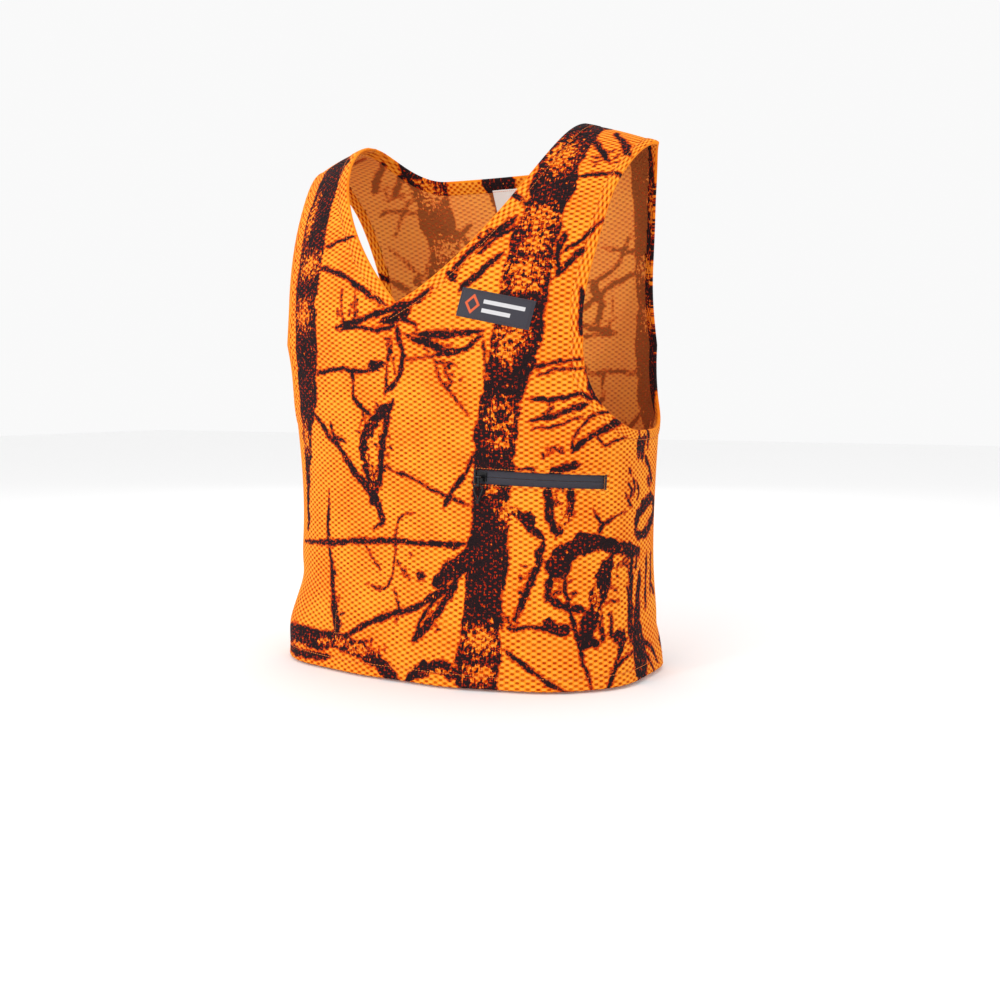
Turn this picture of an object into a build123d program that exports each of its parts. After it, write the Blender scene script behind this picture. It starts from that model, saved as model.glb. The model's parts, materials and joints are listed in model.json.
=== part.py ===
from build123d import *
import os
from math import cos, pi, radians, sin, sqrt, tan

# Pull-over V-neck vest of coarse orange mesh, in the shape it has when it is worn.
# Millimetres. Origin: middle of the hem plane. +X is the wearer's left, -Y is the front, +Z is up.

# ---------------------------------------------------------------- driving dimensions
# The worn shape is a stack of level superellipses, given at the hem, the waist and the chest.
SECTION_Z = (0, 140, 330)
HALF_WIDTH = (203, 194, 208)
FRONT_DEPTH = (137, 118, 137)
BACK_DEPTH = (137, 128, 132)
SQUARENESS = 2.6

# Above CAP_Z the front and the back curve over to a ridge that falls towards each arm.
CAP_Z = 317
RIDGE_Z = 564.8
RIDGE_FALL = 9.668e-4
RIDGE_Y = 12
LEVELS = (
    0, 35, 70, 105, 140, 185, 230, 275, 317, 345,
    375, 405, 435, 465, 492, 512, 526, 537, 543, 547,
)
SECTION_POINTS = 40

FABRIC = 2.0
HEM_HEIGHT = 14
HEM_THICKNESS = 4.0
BAND_PROUD = 0.6
SEAM_Y = ((0, -20), (0, 300), (16, 500), (16, 600))

# V-neck: one arc on each side, both from the V point to the neck end of the shoulder.
V_POINT = (-11, 367)
NECK_LEFT = (V_POINT, (75, 437), (128, 549))
NECK_RIGHT = (V_POINT, (-72, 441), (-128, 549))
NECK_BAND = 14
BACK_NECK_Z = 519
BACK_NECK_HALF_WIDTH = 136
BACK_NECK_CORNER = 60

# Armhole edge and the outer edge of its band, both seen from the side as (y, z).
ARMHOLE = (
    (8, 243), (-40, 247), (-78, 277), (-96, 338), (-81, 410), (-43, 485),
    (12, 525), (56, 487), (86, 410), (90, 345), (74, 280), (44, 249),
)
ARMHOLE_BAND = (
    (8, 232), (-45, 237), (-86, 272), (-103, 338), (-88, 412), (-47, 490),
    (14, 529.5), (61, 491), (92, 412), (97, 345), (82, 275), (49, 240),
)
ARMHOLE_X = (150, 260)

# Zip: a level arc across the wearer's left front, falling a little towards the side seam.
ZIP_CENTRE = (66.5, 32.3, 196.2)
ZIP_RADIUS = 147.4
ZIP_MIDDLE_ANGLE = -64.8
ZIP_HALF_ANGLE = 25.55
ZIP_FALL = 0.0425
WINDOW_HEIGHT = 13.5
ZIP_REACH = (ZIP_RADIUS - 15, ZIP_RADIUS + 15)
TAPE_FACE_RADIUS = 143.2
TAPE_THICKNESS = 0.8
TAPE_WIDTH = 11.7
TAPE_END_ANGLE = 1.9
TAPE_GAP = 0.9
COIL_THICKNESS = 1.6
COIL_WIDTH = 2.85
STOP_ANGLE = 0.9

SLIDER_LENGTH = 10.5
SLIDER_HALF_WIDTH = 4.4
PLATE_THICKNESS = 1.2
SLIDER_END_GAP = 1.0
BAR_STANDOFF = 3.3
BAR_RADIUS = 0.7
BAR_LENGTH = 3.0
EYE_CLEARANCE = 0.09
EYE_RADIUS = 1.7
TAB_DROP = 8.0
TAB_WIDTH = 2.6
TAB_THICKNESS = 1.3
CORD_DIAMETER = 1.5
KNOT_SIZE = (4.4, 3.4, 4.6)

# Route of the pull cord as (along the zip, up), measured from the middle of the tab's lower eye.
CORD_ROUTE = (
    (-0.8, -13.6), (-2.4, -10.0), (-4.2, -6.2), (-5.0, -2.3), (-2.6, 0.0),
    (2.6, 0.0), (4.8, -2.5), (3.9, -6.4), (2.3, -10.1), (0.8, -13.7),
)

# Pockets hang inside the front, between two insets from the outer face of the fabric.
POCKET_FRONT = (2.5, 3.3)
POCKET_BACK = (11.0, 11.8)
POCKET_EDGE_ANGLE = 1.0
ZIP_POCKET_ANGLES = (-91.5, -37.5)
ZIP_POCKET_Z = (52, 207)
ZIP_POCKET_MOUTH_Z = 183.5
INNER_POCKET_ANGLES = (-92, -55)
INNER_POCKET_Z = (34, 195)
INNER_POCKET_PIVOT = (-66.5, 32.3)

LABEL_CENTRE = (94, 358.5)
LABEL_SIZE = (72, 27.5)
LABEL_TILT = 12
LABEL_LAYER = (-0.9, -0.1)
NECK_LABEL_SIZE = (40, 26, 0.7)
NECK_LABEL_PLACE = (0, 91, 494)
NECK_LABEL_TILT = 29

OVERLOCK_WIDTH = 5
SIDE_OVERLOCK_Z = (15, 229)
SHOULDER_OVERLOCK_X = (146, 182)
SHOULDER_OVERLOCK_Z = (520, 560)
THREAD = 1.2
END_TACK_ANGLE = 0.9
END_TACK_HALF_ANGLE = 0.25
END_TACK_OVERHANG = 0.75
BOX_TACK = (8.5, 21)
BOX_TACK_CENTRE = (-92, 46.5)
BAR_TACK_CENTRE = (-146, 194)
BAR_TACK_LENGTH = 6

FAR = 700


# ---------------------------------------------------------------- the worn shape
def through(values, z):
    """Quadratic through the values at SECTION_Z, held level above the chest."""
    z = min(max(z, SECTION_Z[0]), SECTION_Z[2])
    total = 0
    for i, value in enumerate(values):
        weight = value
        for j, other in enumerate(SECTION_Z):
            if j != i:
                weight *= (z - other) / (SECTION_Z[i] - other)
        total += weight
    return total


def section(z, inset):
    """Level outline at height z, moved inwards by inset."""
    half_width = through(HALF_WIDTH, z) - inset
    end = min(half_width, sqrt((RIDGE_Z - inset - z) / RIDGE_FALL))
    points = []
    for i in range(SECTION_POINTS):
        angle = radians(90 + 360 * i / SECTION_POINTS)
        c, s = cos(angle), sin(angle)
        x = end * abs(c) ** (2 / SQUARENESS) * (1 if c >= 0 else -1)
        ridge = RIDGE_Z - inset - RIDGE_FALL * x * x
        climb = min(max((z - CAP_Z) / (ridge - CAP_Z), 0), 1)
        depth = through(FRONT_DEPTH if s < 0 else BACK_DEPTH, z) - inset
        flat = max(1 - (abs(x) / half_width) ** SQUARENESS, 0) ** (1 / SQUARENESS)
        reach = depth * flat * sqrt(1 - climb * climb)
        y = RIDGE_Y * climb * climb
        if abs(s) > 1e-9:
            y += reach if s > 0 else -reach
        points.append((x, y, z))
    even = [i / SECTION_POINTS for i in range(SECTION_POINTS + 1)]
    return Wire([Edge.make_spline(points, parameters=even, periodic=True)])


made = {}


def torso(inset, low=0, high=547):
    """Solid of the worn shape between two of the levels, moved inwards by inset."""
    key = (inset, low, high)
    if key not in made:
        levels = [z for z in LEVELS if low <= z <= high]
        if low == 0 and inset > 0:
            levels[0] = -0.5
        made[key] = Solid.make_loft([section(z, inset) for z in levels])
    return made[key]


def shell(outer, inner, low, high):
    """Thin layer that follows the worn shape, between two insets and two of the levels."""
    return torso(outer, low, high) - torso(inner, low, high)


def block(across, along, up):
    """Box between two values of X, of Y and of Z."""
    ranges = (across, along, up)
    centre = [(low + high) / 2 for low, high in ranges]
    return Pos(*centre) * Box(*(high - low for low, high in ranges))


def slab(low, high):
    return block((-FAR, FAR), (-FAR, FAR), (low, high))


def half_space(front):
    """Everything in front of the side and shoulder seams, or everything behind them."""
    edge = -FAR if front else FAR
    outline = Polyline(*SEAM_Y, (edge, SEAM_Y[-1][1]), (edge, SEAM_Y[0][1]), close=True)
    return extrude(Plane.YZ * make_face(outline), FAR / 2, both=True)


# ---------------------------------------------------------------- cutting shapes
def arc_disc(arc, offset):
    """Disc along Y whose rim is the neckline arc, moved outwards by offset."""
    line = ThreePointArc(*arc)
    centre = line.arc_center
    return Pos(centre.X, 0, centre.Y) * Cylinder(line.radius + offset, FAR, rotation=(90, 0, 0))


def front_neck(offset):
    return arc_disc(NECK_LEFT, offset) & arc_disc(NECK_RIGHT, offset) & half_space(True)


def back_neck(offset):
    height = 400
    outline = RectangleRounded(2 * (BACK_NECK_HALF_WIDTH + offset), height, BACK_NECK_CORNER + offset)
    scoop = extrude(Plane.XZ * outline, FAR / 2, both=True)
    return Pos(0, 0, BACK_NECK_Z - offset + height / 2) * scoop & half_space(False)


def armhole(points, side):
    """Prism along X through one armhole: side is 1 on the wearer's left, -1 on the right."""
    outline = Plane.YZ * make_face(Spline(*points, periodic=True))
    near, far = ARMHOLE_X
    if side > 0:
        return Pos(near, 0, 0) * extrude(outline, far - near)
    return Pos(-near, 0, 0) * extrude(outline, near - far)


def sector(radii, heights, angles):
    """Block bent about the Z axis, between two radii, two heights and two angles."""
    (r_in, r_out), (low, high), (start, stop) = radii, heights, angles
    face = Plane.XZ * Pos((r_in + r_out) / 2, (low + high) / 2) * Rectangle(r_out - r_in, high - low)
    return Rot(0, 0, start) * revolve(face, Axis.Z, stop - start)


# ---------------------------------------------------------------- body fabric
front_side, back_side = half_space(True), half_space(False)
neck_cut = front_neck(NECK_BAND) + back_neck(NECK_BAND)
arm_cuts = [armhole(ARMHOLE_BAND, side) for side in (1, -1)]
arm_openings = [armhole(ARMHOLE, side) for side in (1, -1)]

hollow = torso(FABRIC) & slab(HEM_HEIGHT, FAR)
hem_hollow = torso(HEM_THICKNESS) & slab(-FAR, HEM_HEIGHT)
body = torso(0) - hollow - hem_hollow - neck_cut - arm_cuts

zip_along = Vector(cos(radians(ZIP_MIDDLE_ANGLE + 90)), sin(radians(ZIP_MIDDLE_ANGLE + 90)), -ZIP_FALL)
zip_up = Vector(ZIP_FALL * zip_along.X, ZIP_FALL * zip_along.Y, 1)
ZIP = Plane(origin=ZIP_CENTRE, x_dir=zip_along, z_dir=zip_up).location
window_angles = (-90 - ZIP_HALF_ANGLE, -90 + ZIP_HALF_ANGLE)
window_heights = (-WINDOW_HEIGHT / 2, WINDOW_HEIGHT / 2)
window = ZIP * sector(ZIP_REACH, window_heights, window_angles)

nodes = {
    "front_panel": (body & front_side) - window,
    "back_panel": body & back_side,
}

# ---------------------------------------------------------------- bands round the openings
band_stock = torso(-BAND_PROUD) - torso(FABRIC + BAND_PROUD)
front_ring = band_stock & (front_neck(NECK_BAND) - front_neck(0))
nodes["neck_band_left"] = front_ring - arc_disc(NECK_LEFT, 0)
nodes["neck_band_right"] = front_ring & arc_disc(NECK_LEFT, 0)
nodes["neck_band_back"] = band_stock & (back_neck(NECK_BAND) - back_neck(0))
for name, cut, opening in zip(("left", "right"), arm_cuts, arm_openings):
    halves = [(band_stock & cut & half) - opening for half in (front_side, back_side)]
    nodes[f"armhole_band_{name}"] = halves[0] + halves[1]

# ---------------------------------------------------------------- overlocked seam edges, inside
seam_stock = torso(FABRIC) - torso(HEM_THICKNESS)
for name, side in (("left", 1), ("right", -1)):
    edge = block(sorted((0, side * FAR)), (0, OVERLOCK_WIDTH), SIDE_OVERLOCK_Z)
    nodes[f"side_overlock_{name}"] = seam_stock & edge
    across = sorted(side * x for x in SHOULDER_OVERLOCK_X)
    ridge = block(across, (SEAM_Y[-1][0], SEAM_Y[-1][0] + OVERLOCK_WIDTH), SHOULDER_OVERLOCK_Z)
    nodes[f"shoulder_overlock_{name}"] = seam_stock & ridge

# ---------------------------------------------------------------- labels
label_stock = shell(*LABEL_LAYER, 275, 435) & front_side
label_block = Rot(0, LABEL_TILT, 0) * Box(LABEL_SIZE[0], FAR, LABEL_SIZE[1])
nodes["chest_label"] = label_stock & Pos(LABEL_CENTRE[0], 0, LABEL_CENTRE[1]) * label_block
label_width, label_drop, label_thickness = NECK_LABEL_SIZE
nodes["neck_label"] = Pos(*NECK_LABEL_PLACE) * Rot(NECK_LABEL_TILT, 0, 0) * Box(
    label_width, label_thickness, label_drop
)

# ---------------------------------------------------------------- zip tapes, coils and stops
tape_radii = (TAPE_FACE_RADIUS - TAPE_THICKNESS, TAPE_FACE_RADIUS)
coil_radii = (tape_radii[0] - COIL_THICKNESS, tape_radii[0])
tape_angles = (window_angles[0] - TAPE_END_ANGLE, window_angles[1] + TAPE_END_ANGLE)
for name, side in (("upper", 1), ("lower", -1)):
    tape_heights = sorted((side * TAPE_GAP / 2, side * (TAPE_GAP / 2 + TAPE_WIDTH)))
    coil_heights = sorted((side * TAPE_GAP / 2, side * (TAPE_GAP / 2 + COIL_WIDTH)))
    nodes[f"zip_tape_{name}"] = ZIP * sector(tape_radii, tape_heights, tape_angles)
    nodes[f"zip_coil_{name}"] = ZIP * sector(coil_radii, coil_heights, window_angles)

stop_top = TAPE_GAP / 2 + COIL_WIDTH + 0.3
closed_stop_angles = (window_angles[0] - STOP_ANGLE, window_angles[0])
open_stop_angles = (window_angles[1], window_angles[1] + STOP_ANGLE)
nodes["zip_top_stops"] = Part() + [
    ZIP * sector(coil_radii, sorted((side * TAPE_GAP / 2, side * stop_top)), closed_stop_angles)
    for side in (1, -1)
]
nodes["zip_bottom_stop"] = ZIP * sector(coil_radii, (-stop_top, stop_top), open_stop_angles)

# ---------------------------------------------------------------- slider, tab and pull cord
# Each is built at the middle of the arc, facing -Y, then turned about the zip's axis to the closed end.
degrees_per_mm = 180 / (pi * TAPE_FACE_RADIUS)
half_slider = SLIDER_LENGTH / 2 * degrees_per_mm
rest_turn = -ZIP_HALF_ANGLE + half_slider + SLIDER_END_GAP * degrees_per_mm
AT_REST = ZIP * Rot(0, 0, rest_turn)
slider_angles = (-90 - half_slider, -90 + half_slider)
flange_inside = TAPE_GAP / 2 + COIL_WIDTH + 0.25

front_plate = (TAPE_FACE_RADIUS + 0.15, TAPE_FACE_RADIUS + 0.15 + PLATE_THICKNESS)
back_plate = (coil_radii[0] - 0.25 - PLATE_THICKNESS, coil_radii[0] - 0.25)
bar_y = -(ZIP_RADIUS + BAR_STANDOFF)

slider = Part() + [
    sector(front_plate, (-SLIDER_HALF_WIDTH, SLIDER_HALF_WIDTH), slider_angles),
    sector(back_plate, (-SLIDER_HALF_WIDTH, SLIDER_HALF_WIDTH), slider_angles),
]
for side in (1, -1):
    flange_heights = sorted((side * flange_inside, side * SLIDER_HALF_WIDTH))
    slider += sector((back_plate[1] - 0.1, tape_radii[0] - 0.2), flange_heights, slider_angles)
web_angles = (slider_angles[0], slider_angles[0] + 3.5 * degrees_per_mm)
slider += sector((back_plate[0] + 0.1, front_plate[1] - 0.1), (-0.3, 0.3), web_angles)

post_depth = -bar_y - front_plate[0]
for side in (1, -1):
    post_x = side * (BAR_LENGTH / 2 + 0.55)
    post = Box(1.1, post_depth, 2.4, align=(Align.CENTER, Align.MIN, Align.CENTER))
    slider += Pos(post_x, bar_y, 0) * post
    slider += Pos(post_x, bar_y, 0) * Cylinder(1.2, 1.1, rotation=(0, 90, 0))
slider += Pos(0, bar_y, 0) * Cylinder(BAR_RADIUS, BAR_LENGTH + 1.1, rotation=(0, 90, 0))
nodes["zip_slider"] = AT_REST * slider

tab_face = Plane.YZ * (
    Pos(bar_y, -TAB_DROP / 2) * Rectangle(TAB_THICKNESS, TAB_DROP)
    + Pos(bar_y, 0) * Circle(EYE_RADIUS)
    + Pos(bar_y, -TAB_DROP) * Circle(EYE_RADIUS)
    - Pos(bar_y, 0) * Circle(BAR_RADIUS + EYE_CLEARANCE)
    - Pos(bar_y, -TAB_DROP) * Circle(CORD_DIAMETER / 2 + EYE_CLEARANCE)
)
nodes["zip_pull_tab"] = AT_REST * extrude(tab_face, TAB_WIDTH / 2, both=True)


def cord_radii(points):
    """Corner radius at each inner point: 0.45 of the shorter run over the tangent of half the turn."""
    radii = []
    for before, here, after in zip(points, points[1:], points[2:]):
        arriving, leaving = here - before, after - here
        half_turn = radians(arriving.get_angle(leaving)) / 2
        radii.append(0.45 * min(arriving.length, leaving.length) / tan(half_turn))
    return radii


route = [Vector(along, bar_y, up - TAB_DROP) for along, up in CORD_ROUTE]
radii = cord_radii(route)
print("cord corner radii", [round(radius, 2) for radius in radii])
cord_line = FilletPolyline(*route, radius=radii)
cord_start = Plane(origin=route[0], z_dir=route[1] - route[0])
cord = sweep(cord_start * Circle(CORD_DIAMETER / 2), path=cord_line)
print("cord length", round(cord_line.length, 2), "volume", round(cord.volume, 2))
nodes["zip_pull_cord"] = AT_REST * cord
knot_z = route[0].Z - KNOT_SIZE[2] / 2
knot = extrude(Rectangle(KNOT_SIZE[0], KNOT_SIZE[1]), KNOT_SIZE[2] / 2, both=True)
knot = fillet(knot.edges(), 1.3)
nodes["zip_pull_knot"] = AT_REST * (Pos(0, bar_y, knot_z) * knot) - nodes["zip_pull_cord"]


# ---------------------------------------------------------------- pockets, inside
def pocket(pivot, angles, heights, mouth_low, open_top):
    """Flat bag between two layers behind the front panel, wrapped round a vertical pivot line."""
    low, high = heights
    wide = Pos(*pivot, 0) * sector((60, 200), heights, angles)
    inner_angles = (angles[0] + POCKET_EDGE_ANGLE, angles[1] - POCKET_EDGE_ANGLE)
    inner_top = high + 1 if open_top else high - 1
    narrow = Pos(*pivot, 0) * sector((60, 200), (low + 1, inner_top), inner_angles)
    bag = shell(POCKET_FRONT[0], POCKET_BACK[1], 0, 230) & wide
    space = shell(POCKET_FRONT[1], POCKET_BACK[0], 0, 230) & narrow
    bag = bag - space
    if mouth_low is not None:
        mouth = Pos(*pivot, 0) * sector((60, 200), (mouth_low, high - 1), inner_angles)
        bag = bag - (shell(POCKET_FRONT[0] - 1, POCKET_BACK[0], 0, 230) & mouth)
    return bag


zip_room = ZIP * sector(
    (back_plate[0] - 0.5, ZIP_RADIUS + 10),
    (-TAPE_WIDTH - 1, TAPE_WIDTH + 1),
    (tape_angles[0] - 0.2, tape_angles[1] + 0.2),
)
zip_bag = pocket(ZIP_CENTRE[:2], ZIP_POCKET_ANGLES, ZIP_POCKET_Z, ZIP_POCKET_MOUTH_Z, False)
nodes["zip_pocket_bag"] = zip_bag - zip_room
mirrored = tuple(sorted(-180 - angle for angle in INNER_POCKET_ANGLES))
nodes["inner_pocket_bag"] = pocket(INNER_POCKET_PIVOT, mirrored, INNER_POCKET_Z, None, True)

# ---------------------------------------------------------------- tacks of sewing thread, outside
tack_stock = shell(*LABEL_LAYER, 0, 230) & front_side
tack_heights = (-WINDOW_HEIGHT / 2 - END_TACK_OVERHANG, WINDOW_HEIGHT / 2 + END_TACK_OVERHANG)
nodes["zip_end_tacks"] = Part()
for angle in (window_angles[0] - END_TACK_ANGLE, window_angles[1] + END_TACK_ANGLE):
    tack_angles = (angle - END_TACK_HALF_ANGLE, angle + END_TACK_HALF_ANGLE)
    nodes["zip_end_tacks"] += tack_stock & ZIP * sector(ZIP_REACH, tack_heights, tack_angles)
tack_width, tack_height = BOX_TACK
tack_frame = Box(tack_width, FAR, tack_height) - Box(tack_width - 2 * THREAD, FAR, tack_height - 2 * THREAD)
box_tack = tack_stock & Pos(BOX_TACK_CENTRE[0], 0, BOX_TACK_CENTRE[1]) * tack_frame
line_tack = tack_stock & Pos(BAR_TACK_CENTRE[0], 0, BAR_TACK_CENTRE[1]) * Box(BAR_TACK_LENGTH, FAR, THREAD)
nodes["inner_pocket_tacks"] = Part() + [box_tack, line_tack]

# ---------------------------------------------------------------- files
os.makedirs("parts", exist_ok=True)
for name, shape in nodes.items():
    piece = Part() + shape
    piece.label = name
    export_step(piece, f"parts/{name}.step")
print("nodes", len(nodes))
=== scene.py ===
import json
from math import cos, pi, radians, sin
import bmesh
import bpy
import numpy as np
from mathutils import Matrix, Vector

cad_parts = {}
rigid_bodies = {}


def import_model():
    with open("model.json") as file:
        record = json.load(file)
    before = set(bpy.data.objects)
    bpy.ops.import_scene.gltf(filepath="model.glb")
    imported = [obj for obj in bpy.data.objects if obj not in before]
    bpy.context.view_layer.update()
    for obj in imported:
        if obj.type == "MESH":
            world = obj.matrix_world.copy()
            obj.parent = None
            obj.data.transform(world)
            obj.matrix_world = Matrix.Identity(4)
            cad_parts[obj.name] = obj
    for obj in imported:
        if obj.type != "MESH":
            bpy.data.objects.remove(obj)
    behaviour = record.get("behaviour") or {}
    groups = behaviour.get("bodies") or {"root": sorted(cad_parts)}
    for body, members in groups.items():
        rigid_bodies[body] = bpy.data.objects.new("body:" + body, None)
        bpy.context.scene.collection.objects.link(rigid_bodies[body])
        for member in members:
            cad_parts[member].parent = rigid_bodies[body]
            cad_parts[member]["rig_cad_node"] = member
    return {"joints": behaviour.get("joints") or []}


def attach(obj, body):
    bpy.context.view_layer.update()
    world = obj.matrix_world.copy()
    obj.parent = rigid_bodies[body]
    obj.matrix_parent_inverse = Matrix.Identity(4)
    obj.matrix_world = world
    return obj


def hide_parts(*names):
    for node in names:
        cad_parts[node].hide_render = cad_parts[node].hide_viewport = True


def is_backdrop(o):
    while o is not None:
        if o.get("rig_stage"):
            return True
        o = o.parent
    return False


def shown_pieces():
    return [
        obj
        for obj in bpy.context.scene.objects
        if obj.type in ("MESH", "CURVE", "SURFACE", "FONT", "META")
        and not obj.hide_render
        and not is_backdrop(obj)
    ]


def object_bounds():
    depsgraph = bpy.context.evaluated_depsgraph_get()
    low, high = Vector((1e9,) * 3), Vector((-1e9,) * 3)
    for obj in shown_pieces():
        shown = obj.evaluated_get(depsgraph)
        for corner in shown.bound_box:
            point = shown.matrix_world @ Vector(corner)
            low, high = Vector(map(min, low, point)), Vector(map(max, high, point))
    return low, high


# Pull-over V-neck vest of coarse orange mesh, dressed round its CAD frame.
# Shapes are worked out in millimetres in the row frame, and mesh_piece() turns them into metres.
# "Flat" coordinates run along the cloth: u is the way round from the middle, v the way up from the hem.

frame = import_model()
cad_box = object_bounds()
joints = {joint["name"]: joint for joint in frame["joints"]}
MM = 0.001
FRONT, BACK = -1, 1

# ---------------------------------------------------------------- the worn shape, as the CAD has it
SECTION_Z = (0, 140, 330)
HALF_WIDTH = (203, 194, 208)
DEPTH = {FRONT: (137, 118, 137), BACK: (137, 128, 132)}
SQUARENESS = 2.6
CAP_Z = 317
RIDGE_Z = 564.8
RIDGE_FALL = 9.668e-4
RIDGE_Y = 12
FABRIC = 2.0
RIDGE_TOP = 545
SHOULDER_X = 145
FAR = 99.0
V_POINT = (-11, 367)
NECK_BAND = 14
BACK_FLAT, BACK_CORNER, BACK_CORNER_Z = 76, 60, 579
ARMHOLE = (
    (8, 243), (-40, 247), (-78, 277), (-96, 338), (-81, 410), (-43, 485),
    (12, 525), (56, 487), (86, 410), (90, 345), (74, 280), (44, 249),
)
ARMHOLE_BAND = (
    (8, 232), (-45, 237), (-86, 272), (-103, 338), (-88, 412), (-47, 490),
    (14, 529.5), (61, 491), (92, 412), (97, 345), (82, 275), (49, 240),
)


def through(values, z):
    """Quadratic through the values at SECTION_Z, held level above the chest."""
    z = np.clip(z, SECTION_Z[0], SECTION_Z[2])
    total = 0
    for i, value in enumerate(values):
        weight = value
        for j, other in enumerate(SECTION_Z):
            if j != i:
                weight = weight * (z - other) / (SECTION_Z[i] - other)
        total = total + weight
    return total


def ridge(x):
    return RIDGE_Z - RIDGE_FALL * x**2


def climb(x, z):
    """0 below the chest, rising to 1 on the ridge of the shoulders."""
    return np.clip((z - CAP_Z) / (ridge(x) - CAP_Z), 0, 1)


def depth(z, side):
    return np.where(side < 0, through(DEPTH[FRONT], z), through(DEPTH[BACK], z))


def thinning(x, z):
    """Share of the depth that is left at x."""
    return np.clip(1 - (np.abs(x) / through(HALF_WIDTH, z)) ** SQUARENESS, 0, 1) ** (1 / SQUARENESS)


def on_body(x, z, side):
    """Points of the worn shape at x and z, on the front or the back."""
    x, z, side = np.broadcast_arrays(np.asarray(x, float), np.asarray(z, float), side)
    k = climb(x, z)
    y = RIDGE_Y * k**2 + side * depth(z, side) * thinning(x, z) * np.sqrt(1 - k**2)
    return np.stack([x, y, z], -1)


def level(p):
    """0 on the worn shape and more outside it."""
    x, y, z = p[..., 0], p[..., 1], p[..., 2]
    k = np.maximum((z - CAP_Z) / (ridge(x) - CAP_Z), 0)
    away = y - RIDGE_Y * k**2
    room = 1 - (np.abs(x) / through(HALF_WIDTH, z)) ** SQUARENESS
    room = np.sign(room) * np.abs(room) ** (2 / SQUARENESS)
    return away**2 - depth(z, np.sign(away)) ** 2 * room * (1 - k**2)


def unit(vectors):
    return vectors / np.maximum(np.linalg.norm(vectors, axis=-1, keepdims=True), 1e-12)


def outward(p, reach=0.3):
    """Unit normals of the worn shape."""
    steps = np.eye(3) * reach
    return unit(np.stack([level(p + step) - level(p - step) for step in steps], -1))


def side_of(p):
    """FRONT or BACK for each point."""
    return np.where(p[..., 1] < RIDGE_Y * climb(p[..., 0], p[..., 2]) ** 2, FRONT, BACK)


def smooth(low, high, value):
    t = np.clip((value - low) / (high - low), 0, 1)
    return t * t * (3 - 2 * t)


def bell(value, middle, width):
    """1 at the middle, fading to 0 over about the width."""
    return np.exp(-(((value - middle) / width) ** 2))


def halve(low, high, stays):
    """Where stays(value) turns false between low and high, by halving."""
    for _ in range(40):
        middle = (low + high) / 2
        kept = stays(middle)
        low, high = np.where(kept, middle, low), np.where(kept, high, middle)
    return low


def lengths(line):
    """Length along a line up to each of its points."""
    return np.concatenate([[0], np.cumsum(np.linalg.norm(np.diff(line, axis=0), axis=1))])


def closed(line):
    """A loop of points with its first point again at the end."""
    return np.concatenate([line, line[:1]])


# One quarter of a mean level outline gives the way round the body.
QUARTER_ANGLES = np.linspace(0, pi / 2, 2001)
MEAN_HALF_WIDTH, MEAN_DEPTH = 200, 128
MEAN_QUARTER = np.stack([np.sin(QUARTER_ANGLES), np.cos(QUARTER_ANGLES)], -1) ** (2 / SQUARENESS)
ROUND = lengths(MEAN_QUARTER * (MEAN_HALF_WIDTH, MEAN_DEPTH))
QUARTER = ROUND[-1]
COLUMNS = 162
ROW = 1.34
STEP = QUARTER / COLUMNS
PITCH = (6 * STEP, 4 * ROW)


def flat_of(p):
    """Flat coordinates (u, v) of points on the worn shape."""
    x, y, z = p[..., 0], p[..., 1], p[..., 2]
    k = climb(x, z)
    away = y - RIDGE_Y * k**2
    side = np.where(away < 0, FRONT, BACK)
    across = np.abs(x) / through(HALF_WIDTH, z)
    out = np.where(k > 0, thinning(x, z), np.abs(away) / depth(z, side))
    angle = np.arctan2(across ** (SQUARENESS / 2), out ** (SQUARENESS / 2))
    u = np.sign(x) * np.interp(angle, QUARTER_ANGLES, ROUND)
    theta = np.arcsin(k)
    t = theta * np.linspace(0, 1, 17).reshape((-1,) + (1,) * theta.ndim)
    rise = (ridge(x) - CAP_Z) * np.cos(t)
    run = 2 * RIDGE_Y * np.sin(t) * np.cos(t) - side * depth(z, side) * out * np.sin(t)
    speed = np.hypot(rise, run)
    above = theta * (speed[1:] + speed[:-1]).sum(0) / 32
    return np.stack([u, np.minimum(z, CAP_Z) + above], -1)


def body_at(u, v, side):
    """Points of the worn shape below the chest, from flat coordinates."""
    u, v = np.broadcast_arrays(np.asarray(u, float), np.asarray(v, float))
    angle = np.interp(np.abs(u), ROUND, QUARTER_ANGLES)
    x = np.sign(u) * np.sin(angle) ** (2 / SQUARENESS) * through(HALF_WIDTH, v)
    y = side * np.cos(angle) ** (2 / SQUARENESS) * depth(v, side)
    return np.stack([x, y, v], -1)


# ---------------------------------------------------------------- the zip's own frame, from its joints
zip_joint, tab_joint, cord_joint = (joints[name] for name in ("zip_slide", "tab_swing", "cord_swing"))
ZIP_CENTRE = np.array(zip_joint["pos_m"]) / MM
ZIP_UP = unit(np.array(zip_joint["axis"], float))
REST_ALONG = unit(-np.array(tab_joint["axis"], float))
HALF_TRAVEL = radians(zip_joint["range_deg"][1] / 2)
ZIP_ALONG = REST_ALONG * cos(HALF_TRAVEL) + np.cross(ZIP_UP, REST_ALONG) * sin(HALF_TRAVEL)
ZIP_OUT = np.cross(ZIP_ALONG, ZIP_UP)
ZIP_HALF_ANGLE = 25.55
WINDOW_HALF = 6.75
CLOTH_RADIUS = 145.5
TAPE_FACE = 143.2
TAPE_THICKNESS = 0.8
TAPE_GAP = 0.9
COIL_RADIUS = 0.8
HALF_ARC = ZIP_HALF_ANGLE * pi / 180 * CLOTH_RADIUS


def zip_point(radius, angle, height):
    """Point on the zip's arc: the angle in degrees from its middle, towards the side seam."""
    radius, angle, height = np.broadcast_arrays(radius, np.radians(angle), height)
    turn = np.sin(angle)[..., None] * ZIP_ALONG + np.cos(angle)[..., None] * ZIP_OUT
    return ZIP_CENTRE + radius[..., None] * turn + height[..., None] * ZIP_UP


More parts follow.
